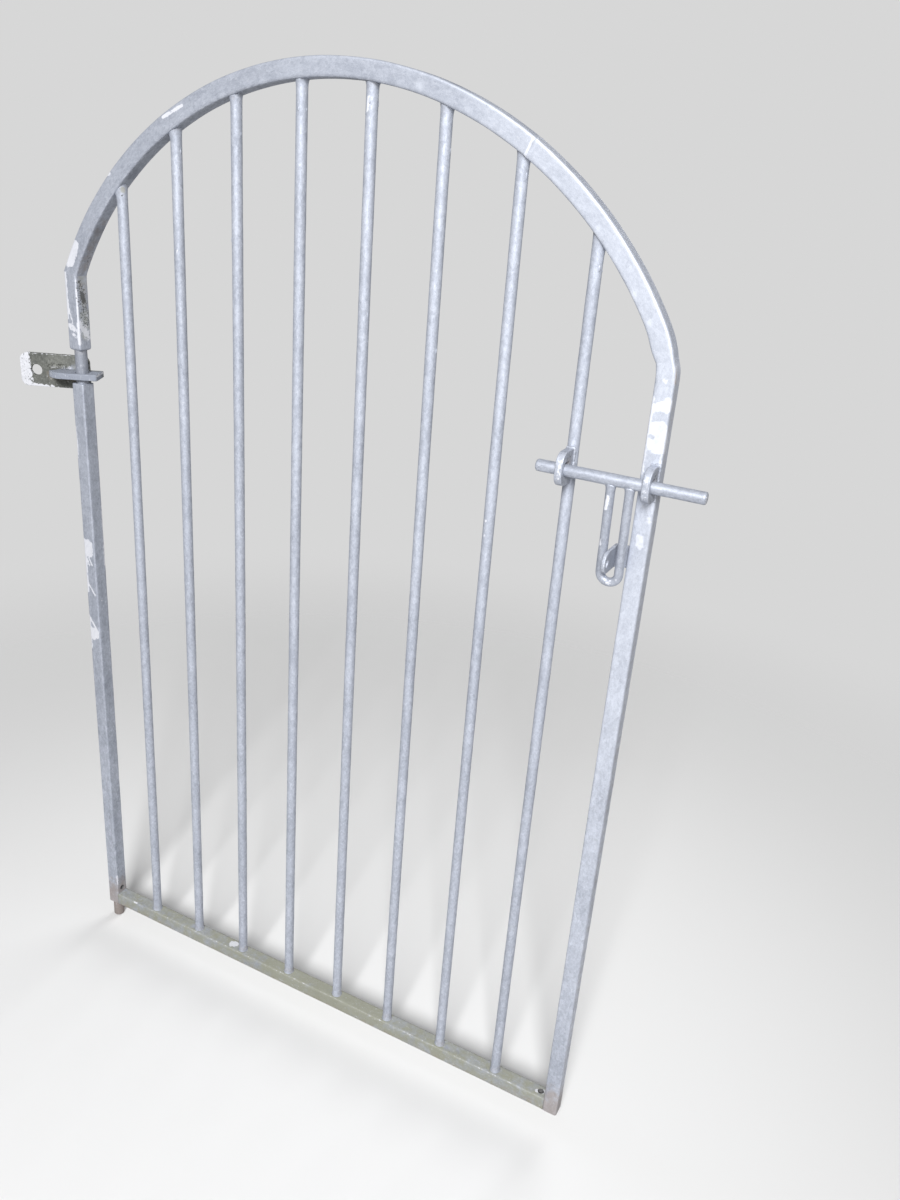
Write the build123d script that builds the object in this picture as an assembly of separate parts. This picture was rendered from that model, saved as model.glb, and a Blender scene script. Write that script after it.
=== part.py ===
"""An arched garden gate leaf of square tube and round bars, galvanised after welding.

The leaf turns on a journal pin let into its hinge stile and on a pin below that stile.
A slide bolt with a hanging loop handle sits on the front, over a staple for a padlock.
Frame: origin at the middle of the hinge plate's back face, which is bolted to a post,
+X along the leaf to the latch side, +Z up, -Y to the front, where the bolt is.
The pieces are drawn about the hinge axis, from the foot of the hinge stile, and moved
to that frame as they are written. Everything is in millimetres.
"""
import math
import os
from build123d import *

# the frame of the leaf, of one square tube; the stiles' height and the arch's rise
# are taken at the inner corner between them
leaf_width = 1000.0
stile_height = 1241.0
arch_rise = 292.5
section = 25.0
tube_wall = 3.0
tube_corner = 2.5
end_plate = 4.0
vent_hole = 10.0
vent_from_corner = 10.0

# round bars between the rail and the arch
bar_diameter = 16.0
bar_count = 8

# the break in the hinge stile and its two pins, each with a thinner end let into the tube
upper_stile_length = 117.0
stile_break = 54.0
stile_end_chamfer = 2.0
pin_diameter = 20.0
spigot_diameter = 16.0
spigot_length = 25.0
spigot_gap = 0.05
pivot_length = 35.0
pivot_tip_chamfer = 2.0

# the loose hinge bracket: a bolted plate and a tab with an eye for the journal
bracket_turn = 30.0
tab_rest_gap = 7.0
tab_thickness = 10.0
tab_left = 56.0
tab_right = 28.0
tab_front = 18.0
tab_round = 28.0
eye_diameter = 22.0
plate_face_from_axis = 23.0
plate_thickness = 8.0
plate_height = 55.0
plate_left = 108.0
plate_right = 5.0
plate_corner = 12.0
plate_hole = 18.0
plate_hole_from_end = 26.0

# the slide bolt, its two guides, its loop handle and the staple
rod_diameter = 16.0
rod_length = 222.0
rod_below_stile_top = 145.0
rod_from_leaf = 31.5
rod_tip_past_stile = 66.0
rod_end_chamfer = 2.0
guide_thickness = 10.0
guide_height = 45.0
guide_nose_from_leaf = 47.0
guide_corner = 17.0
guide_hole = 19.0
rod_running_gap = 0.08
right_guide_inset = 1.5
loop_diameter = 12.0
loop_leg_spacing = 25.0
loop_reach = 143.0
loop_middle_from_stile = 16.8
loop_lean = 3.0
loop_seat_gap = 0.05
staple_thickness = 5.0
staple_height = 30.0
staple_below_rod = 106.0
staple_nose_from_leaf = 52.0
staple_left_gap = 1.8
staple_foot_back = 2.0
staple_hole = 10.0
staple_hole_from_nose = 9.0
staple_bend = 6.0

# how far a cutting body runs past what it cuts
past = 1.0

# places that follow from the values above
half_section = section / 2
hollow_size = section - 2 * tube_wall
latch_x = leaf_width - section
middle_x = latch_x / 2
bar_pitch = latch_x / (bar_count + 1)
half_span = middle_x - half_section
arch_inner_radius = (half_span ** 2 + arch_rise ** 2) / (2 * arch_rise)
arch_outer_radius = arch_inner_radius + section
arch_crown_underside = stile_height + arch_rise
arch_top = arch_crown_underside + section
arch_centre_z = arch_crown_underside - arch_inner_radius
half_width = leaf_width / 2
outer_corner_z = arch_centre_z + math.sqrt(arch_outer_radius ** 2 - half_width ** 2)
mitre_slope = math.degrees(math.atan2(outer_corner_z - stile_height, section))
break_high = stile_height - upper_stile_length
break_low = break_high - stile_break
front_face = -half_section
rod_y = -rod_from_leaf
rod_z = stile_height - rod_below_stile_top
rod_tip_x = latch_x + half_section + rod_tip_past_stile
left_guide_x = bar_count * bar_pitch
right_guide_x = latch_x + half_section - right_guide_inset - guide_thickness / 2
loop_middle_x = latch_x - half_section - loop_middle_from_stile
guide_middle_z = rod_z + (guide_hole - rod_diameter) / 2 - rod_running_gap
tab_middle_z = break_low + tab_rest_gap + tab_thickness / 2
staple_middle_z = rod_z - staple_below_rod


def mitre_block(side, upright):
    """A block that ends at the cut between a stile and the arch, over it or under it.

    side is -1 at the hinge stile and 1 at the latch stile.
    """
    block = Box(half_width, 2 * section, half_width, align=(Align.CENTER, Align.CENTER, upright))
    corner = Location((middle_x + side * half_span, 0, stile_height))
    return corner * Rotation(0, -side * mitre_slope, 0) * block


def square_tube(low, high, floor=0.0, roof=0.0):
    """An upright square tube on the hinge axis, closed at an end where a plate is given."""
    outside = extrude(RectangleRounded(section, section, tube_corner), high - low)
    hollow = extrude(Rectangle(hollow_size, hollow_size), high - low - floor - roof)
    return Pos(0, 0, low) * (outside - Pos(0, 0, floor) * hollow)


def round_bar(diameter, low, high):
    """An upright round bar on the hinge axis."""
    upright = (Align.CENTER, Align.CENTER, Align.MIN)
    return Pos(0, 0, low) * Cylinder(diameter / 2, high - low, align=upright)


def hinge_stiles():
    """The long lower piece and the short upper piece of the stile on the hinge side."""
    bore = spigot_diameter + 2 * spigot_gap
    lower = square_tube(0, break_low, floor=end_plate, roof=end_plate)
    lower -= round_bar(bore, -past, end_plate + past)
    lower -= round_bar(bore, break_low - end_plate - past, break_low + past)
    vent = Cylinder(vent_hole / 2, section, align=(Align.CENTER, Align.CENTER, Align.MIN))
    lower -= Pos(0, 0, section + vent_from_corner) * Rotation(0, 90, 0) * vent
    upper = square_tube(break_high, arch_top, floor=end_plate)
    upper = chamfer(upper.faces().sort_by(Axis.Z)[0].edges(), stile_end_chamfer)
    upper -= mitre_block(-1, Align.MIN)
    upper -= round_bar(bore, break_high - past, break_high + end_plate + past)
    return lower, upper


def latch_stile():
    """The stile on the latch side, in one piece from the ground to the arch."""
    return Pos(latch_x, 0, 0) * square_tube(0, arch_top, floor=end_plate) - mitre_block(1, Align.MIN)


def arch_bar():
    """The bent tube, cut at both ends where it meets the stiles.

    Each long edge has a flat that touches the round edge of the straight tubes.
    """
    edge_flat = tube_corner * (2 - math.sqrt(2))
    outline = Rectangle(section, section)
    profile = chamfer(outline.vertices(), edge_flat) - Rectangle(hollow_size, hollow_size)
    middle = Pos(middle_x, 0, arch_centre_z)
    start = middle * Pos(-arch_inner_radius - half_section, 0, 0) * profile
    half_ring = revolve(start, Axis(middle.position, (0, 1, 0)), 180)
    return half_ring - mitre_block(-1, Align.MAX) - mitre_block(1, Align.MAX)


def bottom_rail():
    """The level tube between the stiles, with a hole in its top for the zinc to drain."""
    length = latch_x - section
    rail = Pos(half_section, 0, half_section) * Rotation(0, 90, 0) * square_tube(0, length)
    vent = Cylinder(vent_hole / 2, section, align=(Align.CENTER, Align.CENTER, Align.MIN))
    return rail - Pos(length + half_section - vent_from_corner, 0, half_section) * vent


def infill_bar(number):
    """One round bar from the top of the rail to the underside of the arch."""
    bar = Pos(number * bar_pitch, 0, 0) * round_bar(bar_diameter, section, arch_top)
    disc = Rotation(90, 0, 0) * Cylinder(arch_inner_radius, 2 * section)
    below_arch = Pos(middle_x, 0, arch_centre_z) * disc
    upright = (Align.CENTER, Align.CENTER, Align.MIN)
    below_centre = Pos(middle_x, 0, 0) * Box(leaf_width, 2 * section, arch_centre_z, align=upright)
    return (bar & below_arch) + (bar & below_centre)


def hinge_journal():
    """The round pin across the break in the hinge stile, with a spigot at each end."""
    pin = round_bar(pin_diameter, break_low, break_high)
    return pin + round_bar(spigot_diameter, break_low - spigot_length, break_high + spigot_length)


def bottom_pivot():
    """The round pin under the hinge stile, with a spigot let into the stile's foot."""
    pin = round_bar(pin_diameter, -pivot_length, 0)
    pin = chamfer(pin.edges().sort_by(Axis.Z)[0], pivot_tip_chamfer)
    return pin + round_bar(spigot_diameter, 0, spigot_length)


def bracket_place():
    """Where the hinge bracket stands: on the journal, turned as it hangs."""
    return Pos(0, 0, tab_middle_z) * Rotation(0, 0, bracket_turn)


def hinge_plate():
    """The upright plate with rounded corners and one bolt hole."""
    length = plate_left + plate_right
    face = RectangleRounded(length, plate_height, plate_corner)
    face -= Pos(plate_hole_from_end - length / 2, 0) * Circle(plate_hole / 2)
    plate = extrude(Plane.XZ * face, -plate_thickness)
    return bracket_place() * Pos((plate_right - plate_left) / 2, plate_face_from_axis, 0) * plate


def hinge_tab():
    """The level tab welded to the plate's face, with the eye for the journal."""
    width = tab_front + plate_face_from_axis
    outline = Pos((tab_right - tab_left) / 2, (plate_face_from_axis - tab_front) / 2)
    outline = outline * Rectangle(tab_left + tab_right, width)
    near_left = outline.vertices().sort_by(Axis.X)[:2].sort_by(Axis.Y)[0]
    outline = fillet(near_left, tab_round) - Circle(eye_diameter / 2)
    return bracket_place() * Pos(0, 0, -tab_thickness / 2) * extrude(outline, tab_thickness)


def bolt_rod():
    """The round rod of the slide bolt, with its end edges taken off."""
    to_left = (Align.CENTER, Align.CENTER, Align.MAX)
    rod = Rotation(0, 90, 0) * Cylinder(rod_diameter / 2, rod_length, align=to_left)
    rod = Pos(rod_tip_x, rod_y, rod_z) * rod
    return chamfer(rod.edges().filter_by(GeomType.CIRCLE), rod_end_chamfer)


def bolt_guide(middle, seat):
    """One guide of the bolt: an upright plate across the rod with a rounded nose.

    The rod rests at the bottom of the guide's hole.
    """
    depth = guide_nose_from_leaf + seat
    outline = Pos(-guide_nose_from_leaf + depth / 2, 0) * Rectangle(depth, guide_height)
    nose = outline.vertices().sort_by(Axis.X)[:2]
    outline = fillet(nose, guide_corner)
    outline -= Pos(rod_y, 0) * Circle(guide_hole / 2)
    plate = extrude(Plane.YZ * outline, guide_thickness / 2, both=True)
    return Pos(middle, 0, guide_middle_z) * plate


def left_guide():
    """The guide welded to the last bar, notched to fit round its front."""
    bar = round_bar(bar_diameter, section, arch_top)
    return bolt_guide(left_guide_x, 0) - Pos(left_guide_x, 0, 0) * bar


def right_guide():
    """The guide welded to the front of the latch stile."""
    return bolt_guide(right_guide_x, front_face)


def handle_loop():
    """The loop of round rod that hangs under the bolt, leaning back to the leaf.

    Its ends are notched to the rod.
    """
    bend = loop_leg_spacing / 2
    straight = loop_reach - bend - loop_diameter / 2
    left_leg = Line((-bend, 0, 0), (-bend, 0, -straight))
    turn = ThreePointArc((-bend, 0, -straight), (0, 0, -straight - bend), (bend, 0, -straight))
    right_leg = Line((bend, 0, -straight), (bend, 0, 0))
    path = left_leg + turn + right_leg
    loop = sweep(Plane(origin=(-bend, 0, 0), z_dir=(0, 0, -1)) * Circle(loop_diameter / 2), path=path)
    over_legs = 2 * (loop_leg_spacing + loop_diameter)
    seat = Rotation(0, 90, 0) * Cylinder(rod_diameter / 2 + loop_seat_gap, over_legs)
    upright = (Align.CENTER, Align.CENTER, Align.MIN)
    above = Box(over_legs, 2 * rod_diameter, rod_diameter, align=upright)
    leaning = Rotation(loop_lean, 0, 0) * (loop - seat - above)
    return Pos(loop_middle_x, rod_y, rod_z) * leaning


def padlock_staple():
    """A bent flat: an arm through the loop with a hole for a padlock, and a foot."""
    gap = loop_leg_spacing - loop_diameter
    left = loop_middle_x - gap / 2 + staple_left_gap
    stile_side = latch_x - half_section
    near = (Align.MIN, Align.MIN)
    arm_length = staple_nose_from_leaf + staple_foot_back
    arm = Pos(left, -staple_nose_from_leaf) * Rectangle(staple_thickness, arm_length, align=near)
    foot_place = Pos(left, staple_foot_back - staple_thickness)
    foot = foot_place * Rectangle(stile_side - left, staple_thickness, align=near)
    bent = arm + foot
    corner = bent.vertices().sort_by(Axis.Y)[-2:].sort_by(Axis.X)[0]
    bent = fillet(corner, staple_bend)
    flat = extrude(bent, staple_height / 2, both=True)
    radius = staple_height / 2
    nose_middle = Pos(radius - staple_nose_from_leaf, 0)
    side = nose_middle * Circle(radius)
    side += nose_middle * Rectangle(arm_length, staple_height, align=(Align.MIN, Align.CENTER))
    side -= Pos(staple_hole_from_nose - staple_nose_from_leaf, 0) * Circle(staple_hole / 2)
    return Pos(0, 0, staple_middle_z) * (flat & extrude(Plane.YZ * side, leaf_width))


def all_pieces():
    """Every piece of the gate under its own name."""
    lower, upper = hinge_stiles()
    pieces = {
        "hinge_stile_lower": lower,
        "hinge_stile_upper": upper,
        "hinge_journal_pin": hinge_journal(),
        "bottom_pivot_pin": bottom_pivot(),
        "latch_stile": latch_stile(),
        "arch_bar": arch_bar(),
        "bottom_rail": bottom_rail(),
        "hinge_plate": hinge_plate(),
        "hinge_tab": hinge_tab(),
        "bolt_rod": bolt_rod(),
        "bolt_handle_loop": handle_loop(),
        "bolt_guide_left": left_guide(),
        "bolt_guide_right": right_guide(),
        "padlock_staple": padlock_staple(),
    }
    for number in range(1, bar_count + 1):
        pieces[f"infill_bar_{number}"] = infill_bar(number)
    return pieces


plate_back = bracket_place() * Pos((plate_right - plate_left) / 2, plate_face_from_axis + plate_thickness, 0)
to_frame = Pos(*(-plate_back.position))

os.makedirs("parts", exist_ok=True)
for name, solid in all_pieces().items():
    export_step(to_frame * solid, f"parts/{name}.step")
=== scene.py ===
"""The looks of an arched garden gate leaf of galvanised tube and bar.

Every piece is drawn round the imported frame, in metres. The tubes, bars, pins and fittings
stand for their solids with rounded corners, an uneven zinc coat, welds and drips.
"""

import math
import random
from typing import NamedTuple

import bmesh
import bpy
from bpy.props import FloatProperty, FloatVectorProperty, IntProperty, PointerProperty
from mathutils import Color, Matrix, Vector, noise


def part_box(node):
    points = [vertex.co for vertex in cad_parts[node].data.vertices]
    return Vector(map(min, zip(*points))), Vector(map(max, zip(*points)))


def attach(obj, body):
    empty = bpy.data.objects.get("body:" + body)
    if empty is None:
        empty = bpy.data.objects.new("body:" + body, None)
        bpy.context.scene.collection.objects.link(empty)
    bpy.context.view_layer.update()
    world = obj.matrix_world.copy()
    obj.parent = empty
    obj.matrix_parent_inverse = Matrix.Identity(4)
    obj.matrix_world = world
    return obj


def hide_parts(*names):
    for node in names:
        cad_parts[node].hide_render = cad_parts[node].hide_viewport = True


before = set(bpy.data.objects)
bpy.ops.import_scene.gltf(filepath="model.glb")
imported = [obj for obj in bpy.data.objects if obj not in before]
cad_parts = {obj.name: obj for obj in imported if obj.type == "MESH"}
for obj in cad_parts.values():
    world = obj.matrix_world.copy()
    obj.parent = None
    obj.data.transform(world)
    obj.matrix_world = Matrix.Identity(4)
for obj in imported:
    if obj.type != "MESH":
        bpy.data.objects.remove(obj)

bl_info = {
    "name": "Arched gate leaf",
    "version": (1, 0, 0),
    "blender": (4, 5, 0),
    "location": "3D View > Sidebar > Gate",
    "description": "Dresses an arched garden gate leaf in galvanised steel",
    "category": "Object",
}

MM = 0.001
ACROSS = Vector((1, 0, 0))
BACK = Vector((0, 1, 0))
UP = Vector((0, 0, 1))
TURN_ALONG = Matrix.Rotation(math.radians(90), 4, "Y")
TURN_UPRIGHT = Matrix.Rotation(math.radians(90), 4, "X")
TURN_ACROSS = Matrix.Rotation(math.radians(90), 4, "Z") @ TURN_UPRIGHT
TURN_CORNER = Matrix.Rotation(math.radians(45), 4, "Z")

COAT_WAVE, COAT_GRAIN = 38 * MM, 7 * MM
MITRE_WELD, BEND_WELD = 2.5 * MM, 4 * MM
VENT_RADIUS, VENT_FROM_CORNER, VENT_DEPTH = 5 * MM, 10 * MM, 18 * MM
BARS = sorted(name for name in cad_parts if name.startswith("infill_bar_"))


def middle_of(node):
    """The middle of a node's box, as three numbers."""
    return [(low + high) / 2 for low, high in zip(*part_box(node))]


class Leaf:
    """Where the leaf's tubes lie, read from the frame."""

    def __init__(self):
        low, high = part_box("hinge_stile_lower")
        self.hinge_x = (low.x + high.x) / 2
        self.y = (low.y + high.y) / 2
        self.foot = low.z
        self.break_low = high.z
        self.section = high.x - low.x
        self.inner_left = high.x
        self.break_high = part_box("hinge_stile_upper")[0].z
        low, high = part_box("latch_stile")
        self.latch_x = (low.x + high.x) / 2
        self.inner_right = low.x
        self.outer_corner_z = high.z
        low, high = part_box("arch_bar")
        self.inner_corner_z = low.z
        self.top = high.z
        half_span = (self.inner_right - self.inner_left) / 2
        rise = self.top - self.section - self.inner_corner_z
        self.inner_radius = (half_span ** 2 + rise ** 2) / (2 * rise)
        self.middle_x = (self.inner_left + self.inner_right) / 2
        self.centre = Vector((self.middle_x, self.y, self.top - self.section - self.inner_radius))
        self.middle_radius = self.inner_radius + self.section / 2

    def point(self, across, depth, height):
        """A point given in millimetres from the hinge axis, the leaf's middle plane and its foot."""
        return Vector((self.hinge_x + across * MM, self.y + depth * MM, self.foot + height * MM))

    def underside(self, x):
        """Height of the arch's underside over a place across the leaf."""
        return self.centre.z + math.sqrt(self.inner_radius ** 2 - (x - self.middle_x) ** 2)

    def mitre(self, side):
        """A point on the cut between stile and arch, and the cut's upward normal.

        side is -1 at the hinge stile and 1 at the latch stile.
        """
        inner_x = self.inner_right if side > 0 else self.inner_left
        climb = Vector((side * self.section, 0, self.outer_corner_z - self.inner_corner_z))
        normal = Vector((-climb.z, 0, climb.x)) * side
        return Vector((inner_x, self.y, self.inner_corner_z)), normal.normalized()


LEAF = Leaf()


# sizes and colours that a user would change

def length(name, description, millimetres):
    """A length property with its default given in millimetres."""
    return FloatProperty(name=name, description=description, default=millimetres * MM,
                         min=0.0, precision=5, unit="LENGTH", subtype="DISTANCE")


def colour(name, description, red, green, blue):
    """A colour property with its default as display values."""
    return FloatVectorProperty(name=name, description=description, default=(red, green, blue),
                               min=0.0, max=1.0, size=3, subtype="COLOR_GAMMA")


def power(name, description, watts):
    """The power of a light."""
    return FloatProperty(name=name, description=description, default=watts, min=0.0, unit="POWER")


class GateSizes(bpy.types.PropertyGroup):
    """Sizes of the coat, the corners and the welds."""

    tube_corner: length("Tube corner", "Radius of the tubes' long corners", 3.1)
    ring_spacing: length("Ring spacing", "Distance between the rings of a tube", 2.0)
    fine_spacing: length("Fine spacing", "Distance between rings where there is a weld", 1.0)
    coat_swell: length("Coat swell", "Height of the long waves in the zinc coat", 0.22)
    coat_lump: length("Coat lump", "Height of the short lumps in the zinc coat", 0.07)
    mitre_ridge: length("Mitre ridge", "Height of the weld round a mitre", 0.35)
    splice_ridge: length("Splice ridge", "Height of the weld across the arch", 0.6)
    bar_weld: length("Bar weld", "How far a bar's weld spreads at its ends", 1.9)
    bar_weld_fall: length("Bar weld fall", "How far up a bar its weld reaches", 3.0)
    end_round: length("End round", "Radius of the edges of a cut tube's end", 1.0)
    stub_round: length("Stub round", "Radius of the lower end of the short stile", 4.5)
    bend_shift: length("Bend shift", "How far the latch side's bend lies inside its mitre", 3.2)
    bend_reach: length("Bend reach", "How far the latch side's bend reaches up and down", 17.0)
    fitting_voxel: length("Fitting voxel", "Grid size at which a fitting's parts run together", 0.7)
    drip_count: IntProperty(name="Drips", description="Number of zinc drips on the bars", default=46, min=0)
    seed: IntProperty(name="Seed", description="Start of the random draws", default=11)


class GateColours(bpy.types.PropertyGroup):
    """Colours of the zinc, of what lies on it, and of the painted light and shade among it."""

    zinc_deep: colour("Deep zinc", "The darker blotches of the zinc", 0.55, 0.572, 0.622)
    zinc_pale: colour("Pale zinc", "The paler blotches of the zinc", 0.865, 0.886, 0.935)
    # also the colour of painted highlights and sunlit edges
    bleached_and_highlight: colour("Bleached zinc", "Zinc gone white", 0.84, 0.845, 0.87)
    # also the colour of painted shade and painted shadow
    earth_and_shade: colour("Earth", "Earth splashed on the feet", 0.57, 0.50, 0.44)
    film: colour("Green film", "The green film on the rail", 0.56, 0.56, 0.48)
    # also the colour of painted shade on the guides and under the arch
    pit_and_shade: colour("Pits", "Bare dark pits in the zinc", 0.20, 0.20, 0.18)
    patina_deep: colour("Deep patina", "The dark patina of the hinge bracket", 0.24, 0.25, 0.24)
    patina_pale: colour("Pale patina", "The pale patina of the hinge bracket", 0.47, 0.475, 0.455)


class GateStage(bpy.types.PropertyGroup):
    """The floor and the lights."""

    floor_colour: colour("Floor", "Colour of the plain floor", 0.90, 0.90, 0.90)
    backdrop: FloatProperty(name="Backdrop", description="Brightness of the plain background",
                            default=0.68, min=0.0, subtype="FACTOR")
    floor_reach: FloatProperty(name="Floor reach", description="Radius of the floor", default=6.0,
                               min=1.0, unit="LENGTH", subtype="DISTANCE")
    key_power: power("Key light", "Power of the key light", 665.0)
    accent_power: power("Accent light", "Power of the light on the latch side", 3.9)
    rear_power: power("Rear light", "Power of the light from behind", 10.0)
    ambient: FloatProperty(name="Ambient", description="Strength of the light from all round",
                           default=0.17, min=0.0, subtype="FACTOR")


# marks painted on the pieces: bleached zinc and painted sunlight or highlights, earth and painted shade,
# # green film, pits and painted shade, and a paler or deeper tone that also paints light and shade

BLEACH_AND_LIGHT, STAIN_AND_SHADE, FILM, PIT_AND_SHADE, TONE_LIGHT_AND_SHADE = range(5)


class Mark(NamedTuple):
    """A soft mark along a line from start to end, full in its middle and gone at its reach.

    An amount under zero takes away from the marks of its kind that come before it.
    """

    kind: int
    start: Vector
    end: Vector
    reach: float
    amount: float = 1.0


def marks_from(at, rows):
    """Marks from rows of (kind, start, end, reach, amount), in millimetres.

    The places are those that at takes. A round mark has None as its end, and a row may leave out
    its amount.
    """
    return [Mark(kind, at(*start), at(*(end or start)), reach * MM, *amount)
            for kind, start, end, reach, *amount in rows]


def mark_strength(mark, place):
    """How strong a mark is at a place."""
    line = mark.end - mark.start
    share = 0.0
    if line.length_squared > 0:
        share = max(0.0, min(1.0, (place - mark.start).dot(line) / line.length_squared))
    away = (place - mark.start - line * share).length / mark.reach
    return mark.amount * max(0.0, 1.0 - away * away)


# marks on each node, in the leaf's own places: across from the hinge axis, depth from its middle
# plane, and height over its foot

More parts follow.
